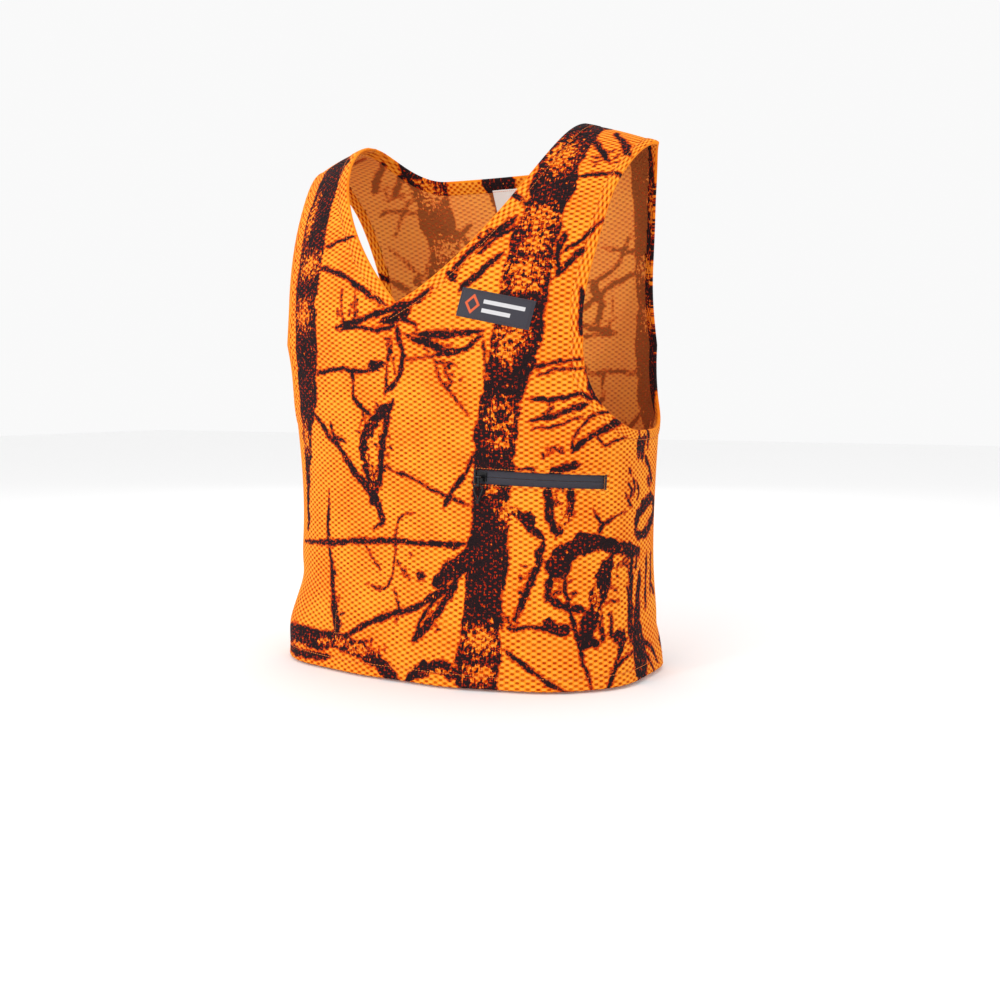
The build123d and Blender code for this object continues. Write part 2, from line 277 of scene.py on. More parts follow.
def zip_place(p):
    """(radius, angle in degrees, height) of points in the zip's frame."""
    away = p - ZIP_CENTRE
    along, out = away @ ZIP_ALONG, away @ ZIP_OUT
    return np.hypot(along, out), np.degrees(np.arctan2(along, out)), away @ ZIP_UP


def from_zip_axis(p):
    """Unit vectors that point level away from the axis of the zip's arc."""
    away = p - ZIP_CENTRE
    return unit(away - (away @ ZIP_UP)[..., None] * ZIP_UP)


def near_zip(angle, height, inner, outer):
    """1 close to the zip, fading to 0."""
    ends = 1 - smooth(ZIP_HALF_ANGLE + 1.5, ZIP_HALF_ANGLE + 9, np.abs(angle))
    return ends * (1 - smooth(inner, outer, np.abs(height)))


def settle(p):
    """Draws the cloth in to the zip's tape, where it is sewn down."""
    radius, angle, height = zip_place(p)
    pull = near_zip(angle, height, 9, 24) * (p[..., 1] < 0) * (CLOTH_RADIUS - radius)
    return p + from_zip_axis(p) * pull[..., None]


def drape(u, v, side):
    """How far the cloth stands off the worn shape: loose folds, most of them near the hem."""
    low = bell(v, 0, 60)
    calm = 1 - smooth(QUARTER - 70, QUARTER, np.abs(u))
    fall = low * (2.0 * np.sin(u / 34 + 0.8) + 1.1 * np.sin(u / 15.5 - 1.2 + v / 40) + 1.5)
    fall = fall * calm + (1 - calm) * low * 2.0
    slack = 1.1 * bell(v, 150, 90) * np.sin(u / 52 + v / 70) * calm
    hip = smooth(-105, -200, u) * (1 - smooth(QUARTER - 40, QUARTER, np.abs(u)))
    tuck = hip * (4.6 * bell(v, 34, 21) - 3.2 * bell(v - 0.05 * u, 92, 17))
    sloped = v + 0.06 * u
    crease = 1.2 * bell(sloped, 22, 6) * bell(u, -10, 60) - 1.5 * bell(sloped, 33, 6) * bell(u, -10, 55)
    diagonal = -1.4 * bell(v + 0.9 * u, 214, 13) * smooth(-190, -120, u) * smooth(40, -30, u)
    pulled = -1.2 * bell(v - 0.7 * u, 208, 12) * smooth(70, 120, u) * smooth(230, 180, u)
    back = (2.2 * np.sin(u / 30) * bell(v, 210, 150) - 2.4 * bell(v + 0.0016 * u**2, 120, 14)) * calm
    local = np.where(side < 0, tuck + crease + diagonal + pulled, back)
    return (fall + slack + local) * (1 - smooth(330, 440, v))


DIMPLE_DEPTH = 0.55
HEM_DROP = 4.5
FRONT_DROP = 1.5


def dimple(u, v):
    """1 at the centres of the knitted dimples, which lie in staggered rows, down to 0 between them."""
    return smooth(0.1, 1.0, np.cos(2 * pi * u / PITCH[0]) * np.cos(2 * pi * v / PITCH[1]))


def hem_drop(u, v, side):
    """How far the cloth's own weight draws the hem down."""
    middle = np.where(side < 0, FRONT_DROP, 0.0) * (1 - smooth(QUARTER - 120, QUARTER, np.abs(u)))
    return (HEM_DROP + middle) * bell(v, 0, 70)


def cloth(p, proud=0.0, dimples=0.0):
    """Points of the worn shape moved to where the cloth hangs, standing proud of it."""
    side = side_of(p)
    flat = flat_of(p)
    u, v = flat[..., 0], flat[..., 1]
    angle, height = zip_place(p)[1:]
    loose = 1 - near_zip(angle, height, 16, 45) * (side < 0)
    lift = drape(u, v, side) * loose + proud - dimples * DIMPLE_DEPTH * dimple(u, v)
    moved = settle(p) + outward(p) * lift[..., None]
    moved[..., 2] -= hem_drop(u, v, side)
    return moved


def laid(base, over, dimples=0.0):
    """Points laid on the cloth and lifted over it, and the way off the cloth at each."""
    up = outward(base)
    return cloth(base, dimples=dimples) + over * up, up


# ---------------------------------------------------------------- curves
def circle(points):
    """Centre and radius of the circle through three (x, z) points."""
    (ax, az), (bx, bz), (cx, cz) = points
    matrix = np.array([[bx - ax, bz - az], [cx - ax, cz - az]], float)
    half = 0.5 * np.array([bx**2 - ax**2 + bz**2 - az**2, cx**2 - ax**2 + cz**2 - az**2])
    centre = np.linalg.solve(matrix, half)
    return centre, float(np.hypot(*(centre - points[0])))


def curve(points, per_span, loop=False):
    """Smooth curve through the points."""
    p = np.asarray(points, float)
    if loop:
        p = np.concatenate([p[-1:], p, p[:2]])
    else:
        p = np.concatenate([2 * p[:1] - p[1:2], p, 2 * p[-1:] - p[-2:-1]])
    t = np.arange(per_span)[:, None] / per_span
    spans = []
    for a, b, c, d in zip(p, p[1:], p[2:], p[3:]):
        bend = (2 * a - 5 * b + 4 * c - d) * t**2 + (3 * b - a - 3 * c + d) * t**3
        spans.append(0.5 * (2 * b + (c - a) * t + bend))
    if not loop:
        spans.append(p[-2:-1])
    return np.concatenate(spans)


def distance_to(line, points):
    """Distance of each point from a polyline, and how far along it the nearest place is, from 0 to 1."""
    best, where = np.full(len(points), 1e9), np.zeros(len(points))
    for i, (a, b) in enumerate(zip(line, line[1:])):
        d = b - a
        t = np.clip(((points - a) @ d) / max(d @ d, 1e-12), 0, 1)
        away = np.linalg.norm(points - a - t[:, None] * d, axis=1)
        nearer = away < best
        best = np.where(nearer, away, best)
        where = np.where(nearer, (i + t) / (len(line) - 1), where)
    return best, where


def inside(line, points):
    """Whether each point is inside a closed polyline."""
    found = np.zeros(len(points), bool)
    for (ax, ay), (bx, by) in zip(line, line[1:]):
        if ay != by:
            crosses = (ay > points[:, 1]) != (by > points[:, 1])
            found ^= crosses & (points[:, 0] < (bx - ax) * (points[:, 1] - ay) / (by - ay) + ax)
    return found


LEFT_ARC = circle((V_POINT, (75, 437), (128, 549)))
RIGHT_ARC = circle((V_POINT, (-72, 441), (-128, 549)))
ARM_EDGE = closed(curve(ARMHOLE, 24, loop=True))
ARM_OUTER = closed(curve(ARMHOLE_BAND, 24, loop=True))


def past_arc(arc, x, z):
    """How far a point is outside a circle."""
    centre, radius = arc
    return np.hypot(x - centre[0], z - centre[1]) - radius


def past_neck(x, z, side):
    """How far a point is outside the neck opening."""
    over = np.maximum(np.abs(x) - BACK_FLAT, 0)
    back = np.hypot(over, BACK_CORNER_Z - z) - BACK_CORNER
    return np.where(side < 0, np.maximum(past_arc(LEFT_ARC, x, z), past_arc(RIGHT_ARC, x, z)), back)


def past_arm(p):
    """How far a point is outside the armholes."""
    gap = np.full(len(p), FAR)
    near = np.abs(p[:, 0]) > SHOULDER_X
    seen = p[near][:, 1:]
    away = distance_to(ARM_EDGE, seen)[0]
    gap[near] = np.where(inside(ARM_EDGE, seen), -away, away)
    return gap


# ---------------------------------------------------------------- the branch print
# Strokes are (half width at the start, half width at the end, x, z, x, z, ...) on the front.
TRUNKS = (
    (21, 21, 137, 548, 129, 462, 124, 402, 114, 328, 98, 272, 86, 214, 80, 138, 77, 78, 80, -4),
    (22, 17, -148, 522, -138, 462, -137, 412, -135, 372, -131, 330, -139, 285, -146, 262),
    (15, 3, -145, 268, -149, 240, -150, 215, -153, 172, -157, 132),
)
BRANCHES = (
    (2, 1.5, -112, 428, -92, 434, -70, 436), (2.2, 2.6, -118, 408, -84, 398, -50, 380, -22, 364),
    (1, 0.8, -79, 384, -76, 348), (0.9, 0.9, -62, 378, -58, 352),
    (3.2, 2.6, -84, 345, -52, 352, -28, 358, 8, 367, 30, 380),
    (1.5, 2.6, -82, 342, -58, 345, -34, 341, -8, 346), (4, 5.6, -28, 349, -14, 352, 4, 358),
    (2, 1.2, -4, 352, 10, 346, 14, 338), (3.4, 1.6, -9, 346, -3, 318, -12, 294, -30, 278),
    (0.9, 1.3, -14, 330, -22, 312, -26, 292, -29, 276), (1.8, 4.8, 0, 336, 22, 328, 44, 318),
    (4.2, 1.2, 42, 318, 64, 321, 85, 334), (1.4, 4.4, 8, 337, 28, 335, 52, 335),
    (4.2, 1, 50, 335, 70, 337, 86, 339), (0.9, 0.9, -4, 310, 22, 314, 49, 318),
    (2.4, 2, -118, 299, -92, 303, -66, 301, -34, 302), (4.6, 3.4, -46, 306, -26, 309),
    (2.6, 1.2, -70, 300, -68, 292, -70, 272), (2.6, 2, -70, 274, -60, 264, -50, 260),
    (3.2, 2.4, 106, 446, 84, 428, 64, 411, 45, 392), (2, 1.4, 108, 436, 88, 424, 72, 410),
    (2.4, 4, 98, 412, 76, 392, 57, 377), (3.6, 3.6, 44, 394, 52, 386), (2.6, 2, 92, 470, 108, 462),
    (1.2, 2, 186, 450, 168, 428, 151, 410), (4.6, 2.8, 166, 415, 158, 402, 147, 388),
    (2.6, 2, 150, 430, 146, 408, 149, 396), (1.6, 1.4, 128, 303, 150, 309, 170, 311),
    (1.2, 1, 130, 297, 152, 302, 172, 303), (2, 1.6, 152, 484, 176, 488, 188, 484),
    (3.4, 3, 146, 528, 160, 516, 174, 500), (3, 4, 166, 534, 180, 520, 188, 506),
    (2.6, 4.2, 168, 378, 170, 356, 169, 334), (3, 3.4, 170, 304, 176, 276),
    (2.4, 3.8, -130, 258, -110, 238, -90, 218, -66, 189), (4, 6, -68, 196, -54, 180, -46, 166),
    (4, 1.2, -46, 170, -38, 152, -50, 142), (6, 7, -28, 266, -44, 252, -58, 230, -58, 208),
    (6, 4, -58, 212, -52, 190, -46, 174), (4.6, 2.4, -48, 176, -40, 207, -33, 246, -20, 272),
    (1.6, 2.4, -104, 250, -100, 234, -84, 230), (1.3, 1.3, -42, 208, -8, 196, 28, 182, 62, 170),
    (1.2, 2.8, 65, 222, 55, 204, 44, 186, 33, 166),
    (2.2, 2.8, -166, 120, -104, 124, -44, 131, 16, 131, 62, 132),
    (1.6, 3.8, -112, 178, -115, 138, -110, 108, -104, 80, -94, 38), (2.4, 2, -108, 96, -101, 92),
    (3.4, 4.8, -106, 88, -100, 62, -92, 34), (1.4, 1.2, 175, 238, 180, 231, 186, 233, 193, 237),
    (2.2, 3.4, -84, 34, -38, 55, 10, 72, 48, 96), (2.4, 4.4, 60, 134, 53, 112, 42, 84, 24, 58),
    (4.6, 3.2, 26, 60, 14, 48, 4, 38), (1.6, 1.6, 4, 38, 14, 62, 34, 84), (4, 4.6, 62, 140, 60, 126),
    (8, 9, 28, 97, 42, 106, 58, 116), (9, 8, -176, 26, -140, 26, -104, 26),
    (8, 6, -108, 30, -76, 28, -48, 20, -24, 8, -8, -2), (4, 3.4, -176, 8, -130, 9, -100, 12),
    (4, 7, 0, -2, 14, 10, 28, 17), (7, 5, 26, 17, 44, 16, 62, 8), (3.4, 4.2, 103, 170, 116, 156, 132, 139),
    (6.6, 6, 116, 162, 123, 156), (4.6, 3.4, 138, 201, 150, 208, 163, 211),
    (4.6, 3.6, 137, 190, 137, 164, 143, 142), (3.4, 4.6, 143, 142, 154, 163, 156, 190),
    (2.2, 4, 106, 58, 122, 98, 133, 138), (1.6, 2.4, 104, 57, 130, 58, 140, 59),
    (5.6, 4.4, 136, 62, 146, 57, 158, 56), (2.4, 1.4, 101, 38, 136, 14, 166, -3),
    (9, 10, 142, 112, 152, 126, 166, 135), (10, 6, 164, 134, 180, 133, 194, 122),
    (8.5, 7, 184, 122, 179, 96, 173, 64, 168, 44), (4, 4.2, 193, 128, 194, 84, 196, 38),
    (5, 4, 166, 42, 180, 43), (8, 7, 188, 48, 194, 42), (1.2, 2.4, 180, 66, 181, 44),
    (1.4, 3, 186, 68, 187, 46), (4.6, 3.4, 140, 104, 138, 86, 150, 78, 170, 71),
    (2.2, 2, 155, 120, 152, 98, 158, 70, 166, 40, 178, -2), (2, 2.6, 193, 42, 190, 18, 187, -2),
    (1.6, 1.2, 188, 16, 198, 30), (2, 4.6, 156, 224, 172, 239, 192, 253),
    (1.4, 1.4, 156, 224, 160, 242, 174, 258, 190, 262), (2.2, 2.2, 122, 274, 146, 274, 168, 277, 187, 268),
    (1.4, 3, 120, 252, 144, 258, 170, 269), (1.2, 1.2, 124, 246, 146, 248, 164, 258),
    (1.8, 2.4, 176, 144, 178, 152), (1.4, 1.4, 178, 152, 172, 168), (1.4, 1.4, 178, 152, 191, 164),
    (0.8, 0.8, -58, 87, -30, 86, -22, 122, -19, 152, 0, 161), (0.8, 0.8, -22, 86, -14, 66, -18, 52),
    (0.8, 0.8, -62, 126, -46, 108, -40, 100), (2.8, 2.8, 8, 100, 12, 97),
    (0.9, 0.9, 30, 308, 40, 309, 54, 304), (0.9, 1.2, 31, 306, 36, 292, 48, 276, 63, 258),
    (0.9, 0.9, 42, 302, 46, 290), (0.9, 0.9, -60, 268, -56, 246, -48, 238),
    (1.2, 0.8, 84, 330, 84, 300, 80, 262, 78, 240), (1.4, 1.4, 108, 206, 122, 206, 132, 190),
)
# Strokes at the wearer's left and right side, front and back, as (u, v) from the middle of the front.
SIDE_STROKES = (
    (6, 6, 254, 237, 258, 215), (1.8, 1.6, 236, 192, 244, 184, 240, 176),
    (1.8, 1.6, 246, 196, 252, 186, 249, 178), (1.6, 1.6, 233, 182, 239, 172, 248, 168),
    (1.6, 1.6, 256, 192, 262, 182, 258, 174), (1.8, 1.6, 238, 206, 243, 200),
    (1.7, 1.7, 237, 112, 242, 102), (1.7, 1.7, 244, 100, 248, 90), (1.7, 1.7, 235, 90, 240, 80),
    (1.7, 1.7, 242, 78, 246, 68), (6, 6, 266, 238, 269, 213),
    (2, 2, 250, 240, 266, 254, 277, 240, 282, 224), (3.4, 2.6, 276, 216, 290, 204, 300, 188),
    (3, 2.4, 284, 196, 294, 186), (5, 6.4, 254, 141, 260, 154, 282, 169, 304, 174),
    (6.4, 5, 304, 174, 313, 160, 298, 147, 276, 138, 254, 141),
    (4, 7, 268, 104, 258, 78, 252, 52, 250, 36), (11, 13, 252, 44, 258, 8), (2.4, 2, 262, 126, 256, 104),
    (2.6, 2.2, 288, 118, 282, 88, 276, 62), (2.6, 2.2, 303, 120, 298, 92, 294, 74),
    (3.4, 3, 300, 84, 312, 74), (2.4, 2, 264, 24, 276, 15, 286, 0), (2.4, 2, 266, 34, 284, 26, 300, 8),
    (2, 2, -214, 262, -222, 214, -216, 170), (3.4, 1.6, -226, 140, -218, 98, -224, 60),
    (2, 2, -206, 404, -216, 360, -212, 316), (1.6, 2, -178, 442, -206, 436),
    (1.4, 2, -180, 342, -208, 350), (4, 2, -236, 200, -250, 186, -262, 150),
    (2.2, 4.4, -262, 60, -250, 34, -240, -2),
)
# Strokes that only the back shows, as (u, v).
BACK_STROKES = (
    (17, 13, -6, 640, -14, 540, -8, 470, -22, 400, -30, 330, -22, 250, -34, 160, -28, 80, -36, -4),
    (3, 2, -16, 470, 24, 484, 60, 512, 92, 520), (2.4, 3.4, -20, 440, -58, 452, -90, 488, -104, 540),
    (2, 4.4, 30, 486, 46, 456, 72, 438), (3.8, 1.6, -60, 452, -74, 424, -66, 398),
    (1.8, 2.4, 40, 412, 80, 402, 118, 418, 140, 450), (5, 3, 84, 402, 96, 376, 88, 352),
    (1.4, 1.4, -100, 520, -128, 500, -150, 462), (2.4, 4.8, -176, 420, -140, 400, -118, 372),
    (4.6, 2, 150, 352, 166, 322, 160, 292),
)
# Scribbled places, as (x, z, half width, half height, how many short marks).
SCRIBBLES = (
    (-36, 218, 8, 22, 10), (104, 60, 12, 8, 8), (186, 92, 6, 26, 16), (-16, 312, 5, 20, 9),
    (48, 296, 10, 12, 7), (150, 92, 10, 12, 10), (-36, 262, 14, 8, 8), (-60, 240, 6, 16, 8),
    (26, 62, 10, 12, 8), (-92, 60, 6, 16, 7), (150, 262, 16, 8, 9), (146, 176, 6, 16, 9),
    (-50, 26, 24, 8, 12), (-140, 22, 24, 10, 14), (-14, 110, 12, 14, 6), (120, 100, 8, 22, 8),
    (84, 424, 14, 8, 8), (170, 508, 14, 12, 8), (-70, 366, 16, 8, 8), (140, 226, 10, 6, 6),
    (36, 322, 14, 5, 7), (60, 20, 14, 8, 8),
)
# Places where bright bark shows through the dark print: (x, z, half width, half height).
BARK = (
    (132, 506, 12, 20), (127, 444, 15, 12), (126, 420, 13, 11), (119, 396, 19, 9), (121, 381, 17, 7),
    (112, 334, 13, 12), (104, 318, 9, 10), (96, 257, 13, 12), (94, 232, 11, 5), (98, 164, 8, 9),
    (78, 44, 17, 11), (80, 14, 13, 9), (84, 186, 5, 5), (-134, 411, 16, 12), (-137, 360, 12, 14),
    (-150, 462, 6, 26), (-112, 26, 9, 3), (-60, 24, 16, 5), (-146, 16, 10, 2.5), (40, 12, 10, 3),
    (-150, 232, 6, 14), (176, 84, 4, 10), (-50, 216, 5, 20), (-86, 28, 10, 4), (150, 160, 5, 14),
)
# Knots drawn as rings: (x, z, radius).
RINGS = ((96, 257, 5.2), (96, 257, 1.2), (9, 99, 3.6), (66, 441, 4.6))
HALF_RING = 1.3
RING_ROUGHNESS = ((4, 0.9),)
# How far the front's print is moved round for the back.
BACK_SHIFT = 34
# Sizes of the roughness on the strokes' edges, as (patch across, how far it moves).
TWIG_ROUGHNESS = ((13, 1.1), (5, 0.9), (2.2, 0.35))
TRUNK_ROUGHNESS = ((30, 3.4), (11, 2.6), (4, 1.4))
TRUNK_HALF = 8.5
CHANCE = np.random.default_rng(11).uniform(-1, 1, (97, 97))


def flat_front(x, z):
    return flat_of(on_body(x, z, FRONT))


def stroke(start, end, *numbers):
    return start, end, curve(np.reshape(numbers, (-1, 2)), 6)


def scribbles():
    """Short marks scattered over the scribbled places."""
    chance = np.random.default_rng(5)
    marks = []
    for x, z, wide, tall, count in SCRIBBLES:
        lean = chance.uniform(0, pi)
        for _ in range(count):
            middle = np.array([x + wide * chance.uniform(-1, 1), z + tall * chance.uniform(-1, 1)])
            turn = lean + chance.normal(0, 0.5)
            reach = chance.uniform(1.5, 4.0) * np.array([cos(turn), sin(turn)])
            marks.append((0.8, 0.9, *(middle - reach), *(middle + reach)))
    return marks


def front_lines():
    """Every stroke of the front as (half widths, points along the flat cloth)."""
    lines = []
    for start, end, line in (stroke(*numbers) for numbers in [*TRUNKS, *BRANCHES, *scribbles()]):
        lines.append((start, end, flat_front(line[:, 0], np.clip(line[:, 1], 0, RIDGE_TOP))))
    return lines


def side_lines(side):
    """The strokes at the sides, in the flat coordinates of the front or the back."""
    lines = [stroke(*numbers) for numbers in SIDE_STROKES]
    if side > 0:
        for start, end, line in lines:
            line[:, 0] = np.sign(line[:, 0]) * (2 * QUARTER - np.abs(line[:, 0]))
    return lines


FRONT_LINES = front_lines()
OWN_LINES = {side: side_lines(side) for side in (FRONT, BACK)}
OWN_LINES[BACK] += [stroke(*numbers) for numbers in BACK_STROKES]
BARK_PATCHES = [(flat_front(x, z), wide, tall) for x, z, wide, tall in BARK]
RING_PLACES = [(flat_front(x, z), radius) for x, z, radius in RINGS]


def patchy(points, scale, seed=0.0):
    """Smooth random values from -1 to 1, whose patches are about scale across."""
    p = points / scale + np.array([13.7, 7.3]) * seed
    corner = np.floor(p).astype(int)
    f = p - corner
    fx, fy = (f * f * (3 - 2 * f)).T
    i, j = corner.T % 97
    i2, j2 = (corner.T + 1) % 97
    low = CHANCE[i, j] * (1 - fx) + CHANCE[i2, j] * fx
    high = CHANCE[i, j2] * (1 - fx) + CHANCE[i2, j2] * fx
    return low * (1 - fy) + high * fy


def wander(points, sizes, seed):
    """Moves points about a little, so that no edge is drawn with a ruler."""
    moved = points.copy()
    for index, (scale, amount) in enumerate(sizes):
        moved[:, 0] += amount * patchy(points, scale, seed + index)
        moved[:, 1] += amount * patchy(points, scale, seed + index + 5.5)
    return moved


def ink_of(points, lines):
    """How far outside the nearest dark stroke each flat point is: less than 0 is in the ink."""
    ink = np.full(len(points), 60.0)
    for start, end, line in lines:
        reach = max(start, end) + 12
        near = np.all((points > line.min(0) - reach) & (points < line.max(0) + reach), axis=1)
        if near.any():
            broad = max(start, end) > TRUNK_HALF
            rough = wander(points[near], TRUNK_ROUGHNESS if broad else TWIG_ROUGHNESS, line[0, 0] % 7)
            away, along = distance_to(line, rough)
            half = start + (end - start) * along
            if not broad:
                half = half * (0.3 + 0.7 * smooth(0, 0.1, along) * smooth(1, 0.9, along))
                half = half * (1 + 0.35 * patchy(points[near], 7, 3.3))
            ink[near] = np.minimum(ink[near], away - half)
    return ink


def print_fields(flat, side):
    """Ink and bark at flat points of the front or the back."""
    own = flat.reshape(-1, 2)
    points = own.copy()
    if side > 0:
        points[:, 0] = BACK_SHIFT - points[:, 0]
    ink = ink_of(points, FRONT_LINES)
    bark = np.zeros(len(points))
    for centre, wide, tall in BARK_PATCHES:
        away = np.hypot((points[:, 0] - centre[0]) / wide, (points[:, 1] - centre[1]) / tall)
        bark = np.maximum(bark, 1 - 0.5 * away)
    for centre, radius in RING_PLACES:
        away = np.linalg.norm(wander(points - centre, RING_ROUGHNESS, 1.7), axis=1)
        ring = np.abs(away - radius) - HALF_RING
        ink = np.minimum(ink, ring)
        bark = bark * smooth(-0.6, 1.2, ring)
    return np.minimum(ink, ink_of(own, OWN_LINES[side])), bark


# ---------------------------------------------------------------- meshes
def mesh_piece(name, points, faces, material, slot, node=None, fields=None, outside=True, body="vest"):
    """Smooth mesh from points in millimetres, riding on a body. fields are values at the points."""
    mesh = bpy.data.meshes.new(name)
    mesh.from_pydata((np.asarray(points, float) * MM).tolist(), [], [tuple(face) for face in faces])
    for key, values in (fields or {}).items():
        values = np.asarray(values, np.float32)
        kind, store = ("FLOAT", "value") if values.ndim == 1 else ("FLOAT_VECTOR", "vector")
        mesh.attributes.new(key, kind, "POINT").data.foreach_set(store, values.ravel())
    mesh.materials.append(material)
    mesh.shade_smooth()
    if outside:
        edit(mesh, lambda shape: bmesh.ops.recalc_face_normals(shape, faces=shape.faces))
    mesh.update()
    piece = bpy.data.objects.new(name, mesh)
    bpy.context.scene.collection.objects.link(piece)
    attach(piece, body)
    if node:
        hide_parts(node)
    return piece


def edit(mesh, change):
    shape = bmesh.new()
    shape.from_mesh(mesh)
    change(shape)
    shape.to_mesh(mesh)
    shape.free()


def weld(piece):
    edit(piece.data, lambda shape: bmesh.ops.remove_doubles(shape, verts=shape.verts, dist=0.02 * MM))


def thicken(piece, name, thickness):
    thick = piece.modifiers.new(name, "SOLIDIFY")
    thick.thickness = thickness * MM
    thick.offset = 0


def flat_field(flat):
    """The flat coordinates as a mesh field, in metres."""
    flat = flat.reshape(-1, 2)
    return np.column_stack([flat * MM, np.zeros(len(flat))])


def print_on(shown, side, flat):
    """Fields of a printed piece: shown is where in the print each point is, flat where in the knit."""
    ink, bark = print_fields(shown, side)
    return {"flat": flat_field(flat), "ink": ink, "bark": bark}


def quads(rows, columns, wrap_rows=False, wrap_columns=False):
    """Faces of a grid of points that is stored row by row."""
    r = np.arange(rows if wrap_rows else rows - 1)
    c = np.arange(columns if wrap_columns else columns - 1)
    r, c = (grid.ravel() for grid in np.meshgrid(r, c, indexing="ij"))
    r2, c2 = (r + 1) % rows, (c + 1) % columns
    return np.stack([r * columns + c, r * columns + c2, r2 * columns + c2, r2 * columns + c], -1)


def sleeve(rows, columns, loop=False):
    """Faces of a tube whose rings are the rows, with its two end faces unless it is a loop."""
    faces = quads(rows, columns, wrap_rows=loop, wrap_columns=True).tolist()
    if not loop:
        faces += [tuple(range(columns))[::-1], tuple((rows - 1) * columns + i for i in range(columns))]
    return faces


def tube(line, radius, sides=8, loop=False):
    """Rings of points round a line, and the faces of the tube."""
    line = np.asarray(line, float)
    ahead = unit(np.roll(line, -1, 0) - np.roll(line, 1, 0) if loop else np.gradient(line, axis=0))
    first = unit(np.cross(ahead, np.array([0.31, 0.53, 0.79])))
    second = np.cross(ahead, first)
    radius = np.broadcast_to(radius, len(line))
    turn = (2 * pi * np.arange(sides) / sides)[None, :, None]
    ring = np.cos(turn) * first[:, None] + np.sin(turn) * second[:, None]
    points = (line[:, None] + radius[:, None, None] * ring).reshape(-1, 3)
    return points, sleeve(len(line), sides, loop)


def gather(parts):
    """Joins (points, faces) pairs into one."""
    points, faces, start = [], [], 0
    for some, its_faces in parts:
        points.append(some)
        faces += [tuple(int(i) + start for i in face) for face in its_faces]
        start += len(some)
    return np.concatenate(points), faces


def resample(line, up, step):
    """Places along a line, a step apart, with the way ahead and the way off the cloth at each."""
    along = lengths(line)
    count = max(2, int(along[-1] / step) + 1)
    at = np.linspace(0, along[-1], count)
    places = np.stack([np.interp(at, along, line[:, i]) for i in range(3)], -1)
    shares, marks = np.linspace(0, 1, count), np.linspace(0, 1, len(line))
    lift = unit(np.stack([np.interp(shares, marks, up[:, i]) for i in range(3)], -1))
    return places, unit(np.gradient(places, axis=0)), lift


STITCH_SHAPE = ((-0.5, -0.5), (-0.38, 0.55), (0.0, 0.95), (0.38, 0.55), (0.5, -0.5))


def stitches(line, up, spacing=3.4, length=2.5, radius=0.3):
    """A row of short stitches along a line on the cloth; up is the way off the cloth at each point."""
    parts = []
    for place, forward, over in zip(*resample(line, up, spacing)):
        across = np.cross(forward, over)
        rings = []
        for share, height in STITCH_SHAPE:
            centre = place + forward * share * length + over * (height * radius)
            thick = radius * (1 - 0.75 * (abs(share) > 0.45))
            for turn in range(6):
                angle = pi * turn / 3
                rings.append(centre + thick * (cos(angle) * across + 0.7 * sin(angle) * over))
        parts.append((np.array(rings), sleeve(len(STITCH_SHAPE), 6)))
    return gather(parts)


# ---------------------------------------------------------------- materials
def linear(red, green, blue):
    """Colour from 0 to 255 as the renderer's linear values."""
    values = [c / 255 for c in (red, green, blue)]
    return tuple(c / 12.92 if c <= 0.04045 else ((c + 0.055) / 1.055) ** 2.4 for c in values) + (1.0,)


class Finish:
    """A material on one Principled shader, with short ways to add nodes."""

    def __init__(self, name, roughness, **constants):
        self.material = bpy.data.materials.new(name)
        self.material.use_nodes = True
        self.tree = self.material.node_tree
        self.shader = self.tree.nodes["Principled BSDF"]
        self.shader.inputs["Roughness"].default_value = roughness
        for key, value in constants.items():
            self.shader.inputs[key.replace("_", " ")].default_value = value

    def node(self, kind, inputs, output=0, **settings):
        made = self.tree.nodes.new(kind)
        for key, value in settings.items():
            setattr(made, key, value)
        for key, value in inputs.items():
            if isinstance(value, bpy.types.NodeSocket):
                self.tree.links.new(value, made.inputs[key])
            else:
                made.inputs[key].default_value = value
        return made.outputs[output]

    def field(self, name, output="Fac"):
        return self.node("ShaderNodeAttribute", {}, output, attribute_name=name)

    def where(self):
        return self.node("ShaderNodeTexCoord", {}, "Object")

    def maths(self, operation, *values):
        return self.node("ShaderNodeMath", dict(enumerate(values)), operation=operation)

    def total(self, first, *rest):
        return self.maths("ADD", first, self.total(*rest)) if rest else first

    def product(self, first, *rest):
        return self.maths("MULTIPLY", first, self.product(*rest)) if rest else first

    def swing(self, value, gain):
        """Noise from 0 to 1 made to swing about 0."""
        return self.maths("MULTIPLY", self.maths("SUBTRACT", value, 0.5), gain)

    def scaled(self, vector, factors):
        return self.node("ShaderNodeVectorMath", {0: vector, 1: factors}, operation="MULTIPLY")

    def step(self, value, low, high):
        inputs = {"Value": value, "From Min": low, "From Max": high}
        return self.node("ShaderNodeMapRange", inputs, interpolation_type="SMOOTHSTEP")

    def noise(self, vector, scale, detail=2.0):
        return self.node("ShaderNodeTexNoise", {"Vector": vector, "Scale": scale, "Detail": detail})

    def ribs(self, where, scale, distortion, detail, direction):
        inputs = {"Vector": where, "Scale": scale, "Distortion": distortion, "Detail": detail}
        return self.node("ShaderNodeTexWave", inputs, "Fac", wave_type="BANDS", bands_direction=direction)

    def mix(self, share, a, b):
        return self.node("ShaderNodeMix", {0: share, 6: a, 7: b}, 2, data_type="RGBA")

    def finish(self, colour, height, distance):
        """Joins the colour and the bump to the shader."""
        self.tree.links.new(colour, self.shader.inputs["Base Color"])
        made = self.node("ShaderNodeBump", {"Height": height, "Distance": distance, "Strength": 1.0})
        self.tree.links.new(made, self.shader.inputs["Normal"])
        return self.material


ORANGE = linear(245, 143, 28)
DEEP_ORANGE = linear(237, 116, 14)
# Painted highlight colour for the knit between the dimples.
RIDGE_HIGHLIGHT_ORANGE = linear(254, 188, 76)
# Painted shade colour for the dimples.
DIMPLE_SHADE_ORANGE = linear(178, 40, 0)
SUNNED = linear(250, 190, 120)
FADED = linear(240, 150, 70)
INK = linear(34, 23, 25)
WARM_INK = linear(176, 38, 14)
HALO = linear(192, 40, 2)


